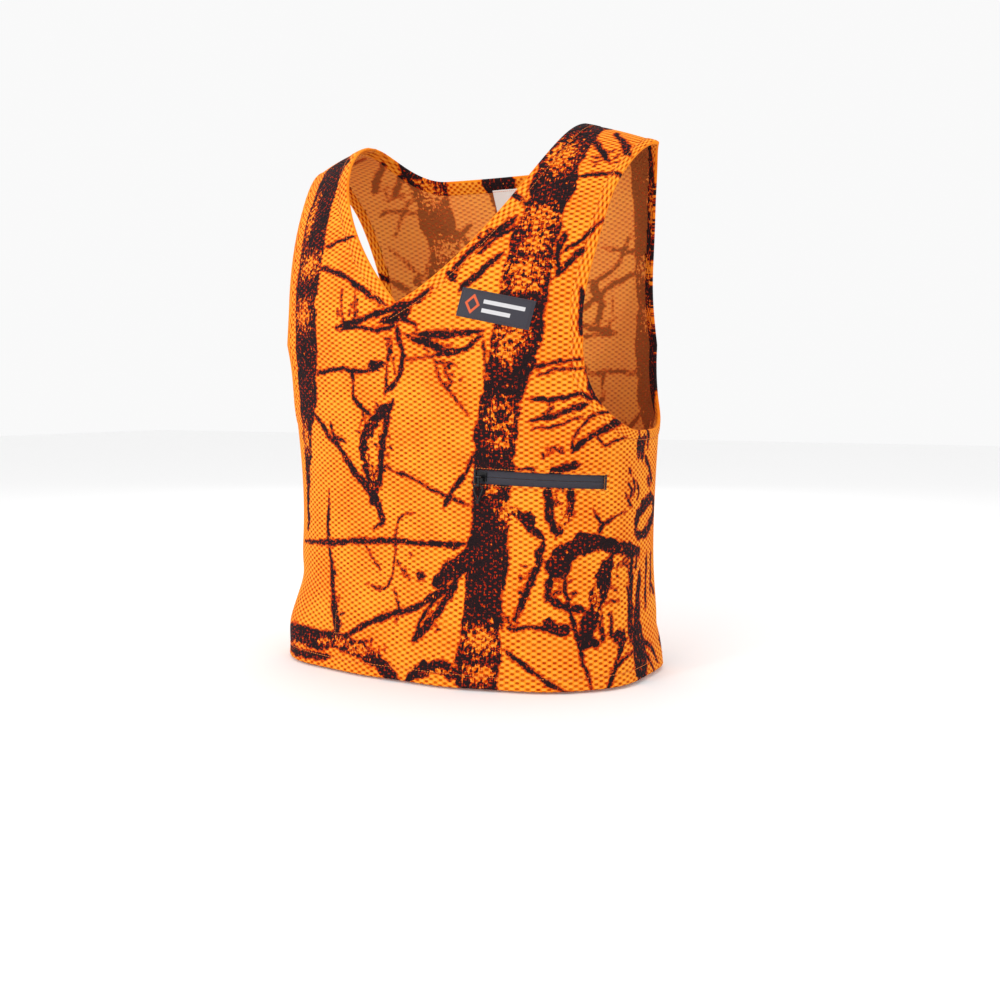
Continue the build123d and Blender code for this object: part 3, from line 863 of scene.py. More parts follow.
def mesh_cloth(name, printed=1.0, pale=0.0, faded=0.0):
    """Knitted mesh: dimples in staggered rows, with or without the dark print, with a painted highlight on
    the knit between the dimples and painted shade in the dimples.
    """
    finish = Finish(name, 0.9, Sheen_Weight=0.02, Sheen_Roughness=0.5, Specular_IOR_Level=0.06)
    mix, step, total, product, swing = finish.mix, finish.step, finish.total, finish.product, finish.swing
    flat = finish.field("flat", "Vector")
    parts = finish.tree.nodes.new("ShaderNodeSeparateXYZ")
    turns = finish.scaled(flat, (2 * pi / (PITCH[0] * MM), 2 * pi / (PITCH[1] * MM), 1.0))
    finish.tree.links.new(turns, parts.inputs[0])
    wave = product(*(finish.maths("COSINE", output) for output in parts.outputs[:2]))
    patches = finish.noise(flat, 62.0)
    middling = finish.noise(flat, 230.0, 3.0)
    fine = finish.noise(flat, 900.0, 3.0)
    streak = finish.noise(finish.scaled(flat, (3.0, 0.8, 1.0)), 190.0, 4.0)
    rough = total(wave, swing(fine, 0.25))
    hole, pit = step(rough, 0.2, 0.66), step(rough, 0.42, 0.88)
    colour = mix(step(finish.noise(flat, 20.0), 0.32, 0.68), ORANGE, DEEP_ORANGE)
    # Painted highlight: the knit between the dimples is mixed towards a paler orange.
    colour = mix(product(step(wave, 0.15, -0.75), 0.5), colour, RIDGE_HIGHLIGHT_ORANGE)
    # Painted shade: the dimples are mixed towards a deep red-orange, as if in shadow.
    colour = mix(product(hole, total(0.8, swing(patches, 1.1))), colour, DIMPLE_SHADE_ORANGE)
    colour = mix(product(step(fine, 0.5, 0.7), 0.14), colour, DEEP_ORANGE)
    if pale:
        colour = mix(pale, colour, SUNNED)
    if printed:
        ink = finish.field("ink")
        edge = total(ink, product(pit, -1.0), swing(fine, 3.0), swing(middling, 4.2))
        show = total(finish.field("bark"), swing(middling, 2.8), swing(streak, 1.8), swing(fine, 0.7))
        bright = step(show, 0.56, 0.74)
        unlit = finish.maths("SUBTRACT", 1.0, product(bright, 0.85))
        specks = product(step(ink, 9.0, 1.0), step(total(middling, swing(fine, 0.5)), 0.63, 0.7), 0.75)
        bitten = product(step(streak, 0.62, 0.68), step(ink, -0.5, -3.0))
        around = product(finish.maths("MAXIMUM", step(edge, 2.1, 0.3), specks), unlit, 0.88)
        dyed = mix(product(pit, step(patches, 0.42, 0.62), 0.9), INK, WARM_INK)
        dyed = mix(product(finish.maths("MAXIMUM", bitten, step(show, 0.4, 0.52)), 0.85), dyed, HALO)
        colour = mix(product(around, printed), colour, HALO)
        covered = finish.maths("SUBTRACT", 1.0, bright)
        colour = mix(product(step(edge, 0.25, -0.6), covered, printed), colour, dyed)
    if faded:
        colour = mix(faded, colour, FADED)
    return finish.finish(colour, total(product(fine, 0.35), product(hole, -1.0)), 0.0006)


def woven(name, base, light, scale, roughness=0.85, **constants):
    """Fine woven cloth such as tape, thread or a label."""
    finish = Finish(name, roughness, **constants)
    where = finish.where()
    ribs = finish.ribs(where, scale, 1.2, 2.0, "DIAGONAL")
    fuzz = finish.noise(where, 2.4 * scale, 3.0)
    colour = finish.mix(finish.product(ribs, fuzz), linear(*base), linear(*light))
    return finish.finish(colour, finish.total(ribs, fuzz), 0.00012)


def moulded(name, base, light, roughness, **constants):
    """Metal or plastic with faint handling marks."""
    finish = Finish(name, roughness, **constants)
    marks = finish.noise(finish.where(), 600.0, 4.0)
    spread = finish.maths("MULTIPLY_ADD", marks, 0.18, roughness - 0.09)
    finish.tree.links.new(spread, finish.shader.inputs["Roughness"])
    colour = finish.mix(finish.product(marks, 0.5), linear(*base), linear(*light))
    return finish.finish(colour, marks, 0.00003)


def marked_weave(name):
    """Dark weave with a pale and a bright mark woven in."""
    finish = Finish(name, 0.72, Sheen_Weight=0.1)
    where = finish.where()
    ribs = finish.ribs(where, 1300.0, 0.6, 2.0, "X")
    fuzz = finish.noise(where, 2600.0, 3.0)
    colour = finish.mix(finish.product(ribs, fuzz), linear(42, 40, 50), linear(74, 70, 82))
    for field, yarn in (("pale", linear(222, 220, 222)), ("bright", linear(232, 96, 44))):
        colour = finish.mix(finish.step(finish.field(field), 0.15, -0.15), colour, yarn)
    return finish.finish(colour, finish.total(ribs, fuzz), 0.00012)


CLOTH = mesh_cloth("printed_mesh")
INSIDE = mesh_cloth("mesh_inside", printed=0.72, pale=0.25, faded=0.18)
PLAIN = mesh_cloth("plain_mesh", printed=0.0, pale=0.12)
TAPE = woven("zip_tape_weave", (48, 46, 54), (70, 68, 78), 900.0)
CARE = woven("care_satin", (226, 224, 218), (246, 244, 240), 700.0, 0.45, Sheen_Weight=0.2)
THREAD = woven("orange_thread", (238, 116, 30), (255, 158, 66), 1500.0, 0.6)
TAPE_THREAD = woven("zip_tack_thread", (40, 38, 45), (70, 66, 74), 1500.0, 0.7)
DARK_THREAD = woven("dark_thread", (60, 44, 42), (96, 70, 60), 1500.0, 0.6)
BRAID = woven("braided_cord", (16, 14, 17), (42, 38, 42), 1300.0, 0.6)
NYLON = moulded("nylon_coil", (20, 20, 23), (44, 43, 48), 0.38)
ENAMEL = moulded("black_enamel", (10, 10, 12), (22, 22, 25), 0.22, Specular_IOR_Level=0.35)
MARKED = marked_weave("label_marked_weave")


def sew(name, line, up, *sizes, material=THREAD):
    return mesh_piece(name, *stitches(line, up, *sizes), material, "thread")


# ---------------------------------------------------------------- camera, cord, light and floor
def add_camera():
    data = bpy.data.cameras.new("camera")
    data.sensor_width = 36
    data.lens = 44.3
    data.shift_x = 0.0281
    data.clip_start = 0.02
    camera = bpy.data.objects.new("camera", data)
    azimuth, away = radians(28.7), 1.322
    camera.location = (away * sin(azimuth), -away * cos(azimuth), 0.280)
    camera.rotation_euler = (radians(85.0), 0, azimuth)
    bpy.context.scene.collection.objects.link(camera)
    bpy.context.scene.camera = camera


# Route of the pull cord as (along the zip, up), measured from the tab's lower eye, as in part.py.
CORD_ROUTE = (
    (-0.8, -13.6), (-2.4, -10.0), (-4.2, -6.2), (-5.0, -2.3), (-2.6, 0.0),
    (2.6, 0.0), (4.8, -2.5), (3.9, -6.4), (2.3, -10.1), (0.8, -13.7),
)
CORD_DIAMETER = 1.5
LOWER_EYE = np.array(cord_joint["pos_m"]) / MM


def add_pull_cord():
    """The cord and its length in metres."""
    data = bpy.data.curves.new("pull_cord_braid", "CURVE")
    data.dimensions = "3D"
    data.bevel_depth = CORD_DIAMETER / 2 * MM
    data.bevel_resolution = 5
    data.use_fill_caps = True
    data.resolution_u = 12
    spline = data.splines.new("NURBS")
    spline.points.add(len(CORD_ROUTE) - 1)
    for made, (along, up) in zip(spline.points, CORD_ROUTE):
        made.co = (*((LOWER_EYE + along * REST_ALONG + up * ZIP_UP) * MM), 1)
    spline.order_u = 3
    spline.use_endpoint_u = True
    data.materials.append(BRAID)
    cord = bpy.data.objects.new("pull_cord_braid", data)
    bpy.context.scene.collection.objects.link(cord)
    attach(cord, "pull_cord")
    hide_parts("zip_pull_cord")
    return cord, spline.calc_length()


def add_knot():
    """The two ends of the pull cord, drawn together in an overhand knot."""
    turn = np.linspace(0, 2 * pi, 49)[:-1, None]
    across = 0.828 * (np.sin(turn) + 1.25 * np.sin(2 * turn))
    up = 0.936 * (np.cos(turn) - 0.95 * np.cos(2 * turn))
    out = -0.62 * np.sin(3 * turn)
    centre = LOWER_EYE - 15.6 * ZIP_UP
    line = centre + across * REST_ALONG + up * ZIP_UP + out * np.cross(REST_ALONG, ZIP_UP)
    parts = [tube(line, CORD_DIAMETER / 2, sides=12, loop=True)]
    for side in (-1, 1):
        drops = np.array([[0.8], [1.6], [2.4]])
        tail = centre + side * (0.5 + 0.2 * drops) * REST_ALONG - drops * ZIP_UP
        parts.append(tube(tail, CORD_DIAMETER / 2 * np.array([1, 1, 0.92]), sides=12))
    points, faces = gather(parts)
    return mesh_piece("pull_cord_knot", points, faces, BRAID, "pull_cord", "zip_pull_knot", body="pull_cord")


LIGHTS = {
    "key": (13, 1.2, (-0.25, -1.9, 1.3)),
    "fill": (2.5, 1.6, (1.9, -1.1, 0.9)),
    "glint": (4, 0.1, (-0.35, -1.75, 0.9)),
    "top": (5, 1.4, (0.1, 0.2, 2.0)),
    "back": (5, 1.4, (-0.9, 1.8, 1.2)),
}
LIT_POINT = Vector((0, 0, 0.28))


def add_studio():
    """Soft lights, a pale world and a pale floor."""
    world = bpy.data.worlds.new("studio")
    bpy.context.scene.world = world
    world.use_nodes = True
    background = world.node_tree.nodes["Background"]
    background.inputs["Color"].default_value = (1, 1, 1, 1)
    background.inputs["Strength"].default_value = 0.95
    for name, (energy, size, place) in LIGHTS.items():
        data = bpy.data.lights.new(name, "AREA")
        data.energy = energy
        data.size = size
        light = bpy.data.objects.new(name, data)
        light.location = place
        light.rotation_euler = (LIT_POINT - Vector(place)).to_track_quat("-Z", "Y").to_euler()
        bpy.context.scene.collection.objects.link(light)
    floor_finish = Finish("pale_floor", 0.9)
    floor_finish.shader.inputs["Base Color"].default_value = (0.95, 0.95, 0.95, 1)
    mesh = bpy.data.meshes.new("floor")
    mesh.from_pydata([(-6, -6, 0), (6, -6, 0), (6, 6, 0), (-6, 6, 0)], [], [(0, 1, 2, 3)])
    mesh.materials.append(floor_finish.material)
    floor = bpy.data.objects.new("floor", mesh)
    floor.location.z = cad_box[0].z - 0.008
    bpy.context.scene.collection.objects.link(floor)
    floor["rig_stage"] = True
    bpy.context.scene.view_settings.view_transform = "Standard"


# ---------------------------------------------------------------- body panels
# The hem's turn-up from its raw edge to the fold, as (height, how far inside the outer face).
HEM_ROLL = (
    (13.2, 3.3), (12.0, 3.9), (10.4, 4.0), (8.8, 4.0), (7.2, 4.0), (5.6, 4.0), (4.0, 4.0), (2.4, 3.9),
    (1.1, 3.5), (0.35, 2.8), (0.1, 2.0), (0.35, 1.1), (0.9, 0.4),
)
HEM_STITCH_V = 12.0


def column_points(u, side, angle):
    """Points of one column above the chest: the angle is 0 at the chest and 90 degrees on the ridge."""
    q = np.interp(abs(u), ROUND, QUARTER_ANGLES)
    widest = np.sign(u) * np.sin(q) ** (2 / SQUARENESS)
    x = widest * HALF_WIDTH[2]
    for _ in range(2):
        z = CAP_Z + (ridge(x) - CAP_Z) * np.sin(angle)
        x = widest * through(HALF_WIDTH, z)
    out = np.cos(q) ** (2 / SQUARENESS) * depth(z, side)
    return np.stack([x, RIDGE_Y * np.sin(angle) ** 2 + side * out * np.cos(angle), z], -1)


def panel_grid(side, every=1):
    """Points of one panel, row by row, with their flat coordinates."""
    u = np.arange(-COLUMNS, COLUMNS + 1, every) * STEP
    below = np.arange(1, int(CAP_Z / ROW) + 1, every) * ROW
    above = below[-1] + np.arange(1, int(320 / ROW / every)) * every * ROW
    lower = body_at(u[None, :], below[:, None], side)
    upper = np.zeros((len(above), len(u), 3))
    reach = np.zeros(len(u))
    turn = np.linspace(0, pi / 2, 600)
    for i, place in enumerate(u):
        length = lengths(column_points(place, side, turn))
        reach[i] = CAP_Z + length[-1]
        upper[:, i] = column_points(place, side, np.interp(above - CAP_Z, length, turn))
    v = np.minimum(np.concatenate([below, above])[:, None], reach[None, :])
    return np.concatenate([lower, upper]), np.stack([np.broadcast_to(u, v.shape), v], -1)


def window_gap(p):
    """How far a point is outside the zip's window."""
    angle, height = zip_place(p)[1:]
    gap = np.maximum(np.radians(np.abs(angle)) * CLOTH_RADIUS - HALF_ARC, np.abs(height) - WINDOW_HALF)
    return np.where(p[:, 1] < 0, gap, FAR)


def kept_cells(faces, points, side, neck, arm, window):
    """Faces of the cloth that no opening cuts away; the bands and the welt cover the ragged edge."""
    p = points.reshape(-1, 3)
    keep = (past_neck(p[:, 0], p[:, 2], side) > neck) & (past_arm(p) > arm)
    if side < 0:
        keep &= window_gap(p) > window
    return faces[keep[faces].all(1)]


def cut_piece(name, points, faces, fields, material, node=None):
    """Mesh piece of those points that the faces use."""
    used = np.unique(faces)
    renumber = np.zeros(points.size // 3, int)
    renumber[used] = np.arange(len(used))
    fields = {key: values[used] for key, values in fields.items()}
    points = points.reshape(-1, 3)[used]
    piece = mesh_piece(name, points, renumber[faces], material, "blaze_mesh", node, fields, outside=False)
    weld(piece)
    return piece


def hem_rows(edge, u, side):
    """The cloth turned up inside the hem: rows from the raw edge to the fold, with flat coordinates."""
    lean = unit(outward(edge) * (1, 1, 0))
    rows, flats = [], []
    for z, inset in HEM_ROLL:
        row = edge - lean * inset
        row[:, 2] = z - hem_drop(u, z, side)
        rows.append(row)
        flats.append(np.column_stack([u, np.full(len(u), -z)]))
    return np.array(rows), np.array(flats)


def add_panel(name, node, side):
    """The outer face of one panel, with its dimples, its seam allowances and its hem."""
    points, flat = panel_grid(side)
    u, v = flat[..., 0], flat[..., 1]
    groove = 0.75 * bell(np.abs(u), QUARTER, 1.3) * (v < 260)
    stitch_line = 0.4 * bell(v, HEM_STITCH_V, 0.9)
    shoulder = 0.7 * bell(points[..., 1], RIDGE_Y, 1.6) * (points[..., 2] > 500)
    moved = cloth(points, dimples=1.0) - outward(points) * (groove + stitch_line + shoulder)[..., None]
    hem, hem_flat = hem_rows(moved[0], u[0], side)
    faces = quads(len(points) + len(hem), points.shape[1])
    faces = kept_cells(faces, np.concatenate([hem, points]), side, neck=7.0, arm=4.0, window=2.2)
    if side > 0:
        faces = faces[:, ::-1]
    flat = np.concatenate([hem_flat, flat])
    fields = print_on(np.stack([flat[..., 0], np.abs(flat[..., 1])], -1), side, flat)
    return cut_piece(name, np.concatenate([hem, moved]), faces, fields, CLOTH, node)


def add_inner_face(name, side):
    """The side of the cloth that faces the wearer."""
    points, flat = panel_grid(side, every=3)
    faces = kept_cells(quads(*points.shape[:2]), points, side, neck=6.5, arm=4.5, window=2.0)
    if side < 0:
        faces = faces[:, ::-1]
    return cut_piece(name, cloth(points, proud=-FABRIC), faces, print_on(flat, side, flat), INSIDE)


# ---------------------------------------------------------------- bands round the openings
# Section of a band, as (way out from the opening's edge, height over the cloth's outer face).
BAND_SECTION = (
    (14, -0.4), (13.7, 0.5), (12.9, 0.85), (11.8, 0.15), (10.72, 0.85), (9.38, 1), (8.04, 1), (6.7, 1),
    (5.36, 1), (4.02, 1), (2.68, 0.95), (1.34, 0.7), (0.4, 0.2), (0, -0.4), (-0.15, -1), (0.1, -1.9),
    (1.2, -2.6), (3.9, -2.8), (7.5, -2.8), (10.3, -2.6), (11.6, -2.3), (12.9, -2.6), (13.7, -2.3), (14, -1.6),
)
STITCH_W = 11.8
STITCH_LIFT = 0.38
BAND_DIMPLE = 0.45
# Only the outer face of a band, above this height, has dimples.
BAND_FACE = 0.55


def band_piece(node, place, loop=False, lift=np.zeros_like, marks=np.linspace(0, 1, 60)):
    """Folded band and its stitches. place(t, w) gives points of the worn shape, t along it and w out."""
    count = int(lengths(place(marks, np.full(len(marks), NECK_BAND / 2)))[-1] / STEP) + 1
    t = np.linspace(0, 1, count)
    w, height = np.array(BAND_SECTION).T
    base = place(np.repeat(t, len(w)), np.tile(w, count))
    along = np.arange(count) * STEP
    pits = BAND_DIMPLE * dimple(along[:, None], w[None, :]) * (height > BAND_FACE)
    proud = height + lift(t)[:, None] - pits
    points = cloth(base) + outward(base) * proud.reshape(-1, 1)
    faces = sleeve(count, len(w))
    if loop:
        faces = faces[:-2]
    flat = flat_of(base)
    knit = np.stack([np.repeat(along, len(w)), np.tile(np.maximum(w, PITCH[1] / 4), count)], -1)
    front, back = (print_on(flat, side, knit) for side in (FRONT, BACK))
    fields = {"flat": front["flat"]}
    for key in ("ink", "bark"):
        fields[key] = np.where(side_of(base) < 0, front[key], back[key])
    mesh_piece(f"{node}_fold", points, faces, CLOTH, "band_mesh", node, fields)
    base = place(t, np.full(count, STITCH_W))
    sew(f"{node}_fold_stitches", *laid(base, (STITCH_LIFT + lift(t))[:, None]))


def arc_angle(centre, radius, test, low, high):
    """Angle on a circle at which test(x, z) changes sign."""

    def positive(angle):
        return test(centre[0] + radius * np.cos(angle), centre[1] + radius * np.sin(angle)) > 0

    first = positive(low)
    return halve(low, high, lambda angle: positive(angle) == first)


def below_ridge(x, z):
    return ridge(x) - 0.0005 - z


def front_band(node, arc, shoulder, other, past, lift):
    """Band along one arc of the V-neck, from the shoulder down to just past the other arc."""
    centre, radius = arc
    v_angle, top_angle = (np.arctan2(z - centre[1], x - centre[0]) for x, z in (V_POINT, shoulder))

    def place(t, w):
        r = radius + w
        low = np.full(len(w), v_angle)
        first = arc_angle(centre, r, below_ridge, low, np.full(len(w), top_angle))
        beyond = low + np.sign(v_angle - top_angle) * 0.5
        last = arc_angle(centre, r, lambda x, z: past - past_arc(other, x, z), first, beyond)
        angle = first + (last - first) * t
        return on_body(centre[0] + r * np.cos(angle), centre[1] + r * np.sin(angle), FRONT)

    band_piece(node, place, lift=lift)


def back_neck_place(t, w):
    """Points along the back neck's band."""
    corner = BACK_CORNER + w
    down, past_level = np.full(len(w), -pi / 2), np.full(len(w), 0.2)
    end = arc_angle((BACK_FLAT, BACK_CORNER_Z), corner, below_ridge, down, past_level)
    s = (2 * t - 1) * (BACK_FLAT + BACK_CORNER * (end + pi / 2))
    over = np.maximum(np.abs(s) - BACK_FLAT, 0) / BACK_CORNER
    x = np.minimum(np.abs(s), BACK_FLAT) + corner * np.sin(over)
    return on_body(np.sign(s) * x, BACK_CORNER_Z - corner * np.cos(over), BACK)


def side_point(y, z, side):
    """Points of the worn shape seen from the side at y and z."""

    def within(x):
        return (level(np.stack([x, y, z], -1)) < 0) & (z < ridge(x))

    return np.stack([side * halve(np.full(len(y), 90.0), through(HALF_WIDTH, z) - 1e-6, within), y, z], -1)


def add_armhole_band(node, side):
    def place(t, w):
        at, knots = (t % 1.0) * (len(ARM_EDGE) - 1), np.arange(len(ARM_EDGE))
        share = w / NECK_BAND
        edge, outer = ([np.interp(at, knots, line[:, i]) for i in (0, 1)] for line in (ARM_EDGE, ARM_OUTER))
        y, z = (a * (1 - share) + b * share for a, b in zip(edge, outer))
        return side_point(y, z, side)

    band_piece(node, place, loop=True, marks=np.linspace(0, 0.9999, 300))


def add_bands():
    """The left band of the V laps over the right one, so it stands higher there."""
    over, under = (lambda t: 1.1 * smooth(0.84, 0.93, t)), (lambda t: -0.9 * smooth(0.95, 1.0, t))
    front_band("neck_band_left", LEFT_ARC, (132, 560), RIGHT_ARC, NECK_BAND - 0.5, over)
    front_band("neck_band_right", RIGHT_ARC, (-132, 560), LEFT_ARC, 5.0, under)
    band_piece("neck_band_back", back_neck_place)
    add_armhole_band("armhole_band_left", 1)
    add_armhole_band("armhole_band_right", -1)


# ---------------------------------------------------------------- seams, inside
OVERLOCK_SECTION = ((0.0, 0.0), (0.2, 0.9), (2.5, 1.15), (4.6, 0.9), (5.0, 0.4), (4.6, 0.0), (2.5, -0.05))


def add_overlock(name, line, inward, node):
    """Trimmed seam edge with thread looped over it. inward is the way to the wearer at each point."""
    places, ahead, lean = resample(line, inward, 1.1)
    across = np.cross(ahead, lean)
    across = across * np.sign(across[:, 1:2] + 1e-9)
    strip = np.stack([places + a * across + b * lean for a, b in OVERLOCK_SECTION], 1).reshape(-1, 3)
    faces = sleeve(len(places), len(OVERLOCK_SECTION))
    fields = {"flat": flat_field(np.zeros((len(strip), 2)))}
    mesh_piece(f"{name}_edge", strip, faces, PLAIN, "thread", node, fields)
    swing = np.where(np.arange(len(places)) % 2 == 0, 0.5, 4.7)[:, None]
    zigzag = tube(places + swing * across + 1.25 * lean, 0.22, sides=5)
    along_edge = tube(places + 4.95 * across + 0.75 * lean, 0.25, sides=5)
    mesh_piece(f"{name}_thread", *gather([zigzag, along_edge]), THREAD, "thread")


def add_overlocks():
    for name, side in (("left", 1), ("right", -1)):
        base = body_at(np.full(150, side * QUARTER), np.linspace(15.5, 228, 150), FRONT)
        inward = np.tile([-side, 0.0, 0.0], (150, 1))
        add_overlock(f"side_seam_{name}", cloth(base) + inward * 2.4, inward, f"side_overlock_{name}")
        x = side * np.linspace(146, 181, 40)
        line = np.stack([x, np.full(40, RIDGE_Y + 3.5), ridge(x) - 2.6], -1)
        inward = unit(np.stack([-2 * RIDGE_FALL * x, np.zeros(40), -np.ones(40)], -1))
        add_overlock(f"shoulder_seam_{name}", line, inward, f"shoulder_overlock_{name}")


def add_hem_stitches():
    for name, side in (("front", FRONT), ("back", BACK)):
        base = body_at(np.linspace(-QUARTER + 2, QUARTER - 2, 500), np.full(500, HEM_STITCH_V), side)
        sew(f"hem_stitches_{name}", *laid(base, -0.12))
        line, up = laid(base, -4.05)
        sew(f"hem_stitches_{name}_inside", line, -up)


# ---------------------------------------------------------------- zip
# Section of the window's turned edge, as (way out from the window, height over the cloth).
WELT_SECTION = (
    (4.8, -0.3), (4.5, 0.35), (3.7, 0.6), (2.4, 0.6), (1.5, 0.15), (0.7, 0.45), (0.1, -0.1),
    (-0.1, -0.9), (0.1, -1.7), (1.0, -2.1), (4.5, -2.1),
)
# Section of a tape, as (way up or down from the middle, height over its face).
TAPE_SECTION = (
    (0.14, -0.75), (0.1, -0.05), (0.35, 0.16), (1.4, 0.24), (2.7, 0.2), (3.5, 0.04), (4.2, 0.0), (6.5, 0.0),
    (8.5, 0), (10.5, 0), (12, 0), (12.15, -0.2), (12.15, -0.7), (8.5, -0.8), (4.2, -0.8), (2, -0.75),
)
WINDOW_CORNER = 0.9
COIL_TURNS = 104
# One stitch of a bar tack, as (way across in half widths, height).
TACK_ARCH = ((-1, -0.2), (-0.6, 0.2), (0, 0.3), (0.6, 0.2), (1, -0.2))


def window_loop(out):
    """The window's outline moved out, from a lower corner: angles, heights, and both in millimetres."""
    reach = WINDOW_CORNER + out
    half_size = (HALF_ARC - WINDOW_CORNER, WINDOW_HALF - WINDOW_CORNER)
    corners = np.array([(1, -1), (1, 1), (-1, 1), (-1, -1)]) * half_size
    points = []
    for index, corner in enumerate(corners):
        turns = (index - 1 + np.linspace(0, 1, 5)) * pi / 2
        arc = corner + reach * np.stack([np.cos(turns), np.sin(turns)], -1)
        straight = corners[(index + 1) % 4] - corner
        count = 70 if index % 2 else 6
        points += [arc, arc[-1] + straight * np.linspace(0, 1, count + 2)[1:-1, None]]
    loop = np.concatenate(points)
    return np.degrees(loop[:, 0] / CLOTH_RADIUS), loop[:, 1], loop


def add_welt():
    """Turned edge of the cloth round the zip's window."""
    rings, flats = [], []
    for out, proud in WELT_SECTION:
        angle, height, loop = window_loop(out)
        rings.append(zip_point(CLOTH_RADIUS + proud, angle, height))
        flats.append(loop)
    points = np.stack(rings, 1)
    faces = quads(*points.shape[:2], wrap_rows=True, wrap_columns=True)
    fields = print_on(flat_of(points), FRONT, np.stack(flats, 1) + 200.0)
    welt = mesh_piece("zip_window_edge", points.reshape(-1, 3), faces, CLOTH, "band_mesh", fields=fields)
    angle, height = window_loop(1.5)[:2]
    line = closed(zip_point(CLOTH_RADIUS + 0.3, angle, height))
    return welt, sew("zip_window_stitches", line, from_zip_axis(line), 3.0, 2.2, 0.27)


def add_tapes():
    """The zip's two woven tapes, and its coils on their inner face."""
    half = ZIP_HALF_ANGLE + 1.8
    angle = np.linspace(-half, half, 110)
    for name, side in (("upper", 1), ("lower", -1)):
        rings = [zip_point(TAPE_FACE + proud, angle, side * out) for out, proud in TAPE_SECTION]
        points, faces = np.stack(rings, 1).reshape(-1, 3), sleeve(len(angle), len(TAPE_SECTION))
        mesh_piece(f"zip_tape_{name}_weave", points, faces, TAPE, "zip_tape", f"zip_tape_{name}")
        t = np.linspace(-1, 1, COIL_TURNS * 12)
        height = side * (TAPE_GAP / 2 + 1.42 - 1.16 * np.cos(pi * COIL_TURNS * t))
        radius = TAPE_FACE - TAPE_THICKNESS - COIL_RADIUS - 0.02 + 0.5 * np.sin(pi * COIL_TURNS * t)
        coil = tube(zip_point(radius, t * (ZIP_HALF_ANGLE - 0.2), height), 0.27, sides=6)
        mesh_piece(f"zip_coil_{name}_loops", *coil, NYLON, "zip_coil", f"zip_coil_{name}")


def bar_tack(name, line, up, material, width, node):
    """Short stitches packed side by side across a line."""
    parts = []
    for place, forward, over in zip(*resample(line, up, 0.42)):
        across = np.cross(forward, over) * width / 2
        parts.append(tube([place + across * s + over * h for s, h in TACK_ARCH], 0.2, sides=5))
    mesh_piece(name, *gather(parts), material, "thread", node)


def outline(corners, count):
    """Points along a polyline, count of them to a side."""
    corners = np.array(corners)
    sides = [np.linspace(a, b, count)[:-1] for a, b in zip(corners, corners[1:])]
    return np.concatenate([*sides, corners[-1:]])


def add_tacks():
    """End tacks of the zip, and the pocket's box tack and bar tack."""
    for name, side, node in (("closed", -1, None), ("open", 1, "zip_end_tacks")):
        line = zip_point(CLOTH_RADIUS + 0.5, side * (ZIP_HALF_ANGLE + 0.2), np.linspace(-7.0, 7.0, 30))
        bar_tack(f"zip_tack_{name}_end", line, from_zip_axis(line), TAPE_THREAD, 2.4, node)
    line = outline([(-96.2, 36.0), (-87.8, 36.0), (-87.8, 57.0), (-96.2, 57.0), (-96.2, 36.0)], 12)
    base = on_body(line[:, 0], line[:, 1], FRONT)
    sew("pocket_box_tack", *laid(base, 0.1, dimples=0.4), 2.3, 1.9, 0.24)
    base = on_body(np.linspace(-149, -143, 12), np.full(12, 194.0), FRONT)
    bar_tack("pocket_bar_tack", *laid(base, 0.15, dimples=0.4), THREAD, 1.2, "inner_pocket_tacks")


# CAD nodes that are shown as they are, with their material and how far their edges are softened.
CAD_FINISH = {
    "zip_slider": (ENAMEL, 0.22), "zip_pull_tab": (ENAMEL, 0.25),
    "zip_top_stops": (NYLON, 0.2), "zip_bottom_stop": (NYLON, 0.2),
}


def finish_cad_nodes():
    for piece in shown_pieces():
        if piece.get("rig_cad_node") in CAD_FINISH:
            material, width = CAD_FINISH[piece["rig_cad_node"]]
            piece.data.materials.clear()
            piece.data.materials.append(material)
            bevel = piece.modifiers.new("softened_edges", "BEVEL")
            bevel.width = width * MM
            bevel.segments = 3
            bevel.limit_method = "ANGLE"
            bevel.harden_normals = False


# ---------------------------------------------------------------- pockets, inside
POCKET_COLUMNS = 60
POCKET_KNIT = 1.9
# The most that each layer of a pocket may stand out from the zip's axis, close to the zip.
BEHIND_TAPES = {"front": 141.9, "back": 140.6}


def pocket_bag(name, node, pivot, angles, low, high, mouth, closed_top):
    """Cloth wrapped round an upright line at the pivot and folded at the bottom, with two layers."""

    def place(share, layer):
        across = np.linspace(0, 1, POCKET_COLUMNS)
        angle = np.radians(angles[0] + (angles[1] - angles[0]) * across)
        direction = np.stack([np.cos(angle), np.sin(angle)], -1)
        z = low + ((mouth if layer == "front" else high) - low) * share

        def points_at(radius):
            return np.column_stack([pivot + radius[:, None] * direction, np.full(len(angle), z)])

        near, far = np.full(len(angle), 60.0), np.full(len(angle), 220.0)
        radius = halve(near, far, lambda middle: level(points_at(middle)) < 0)
        sides = np.clip(1 - np.abs(2 * across - 1) ** 6, 0, 1)
        foot = smooth(0, 0.12, share)
        slack = 0.35 * np.sin(9 * across + 5 * share)
        if layer == "front":
            inset = 3.1 + 0.35 * sides * foot * slack
        else:
            head = 1 - (0.75 * smooth(0.95, 1.0, share) if closed_top else 0.45 * smooth(0.7, 1.0, share))
            inset = 3.7 + (6.9 + slack) * sides * foot * head
        return behind_tapes(points_at(radius - inset), BEHIND_TAPES[layer])

    rows = [place(share, "front") for share in np.linspace(1, 0, 64)]
    rows += [place(share, "back") for share in np.linspace(0, 1, 74)[1:]]
    knit = np.stack(np.meshgrid(np.arange(POCKET_COLUMNS), np.arange(len(rows))), -1) * POCKET_KNIT
    faces = quads(len(rows), POCKET_COLUMNS)
    fields = {"flat": flat_field(knit)}
    bag = mesh_piece(name, np.concatenate(rows), faces, PLAIN, "pocket_cloth", node, fields, outside=False)
    thicken(bag, "cloth_thickness", 0.5)
    return bag


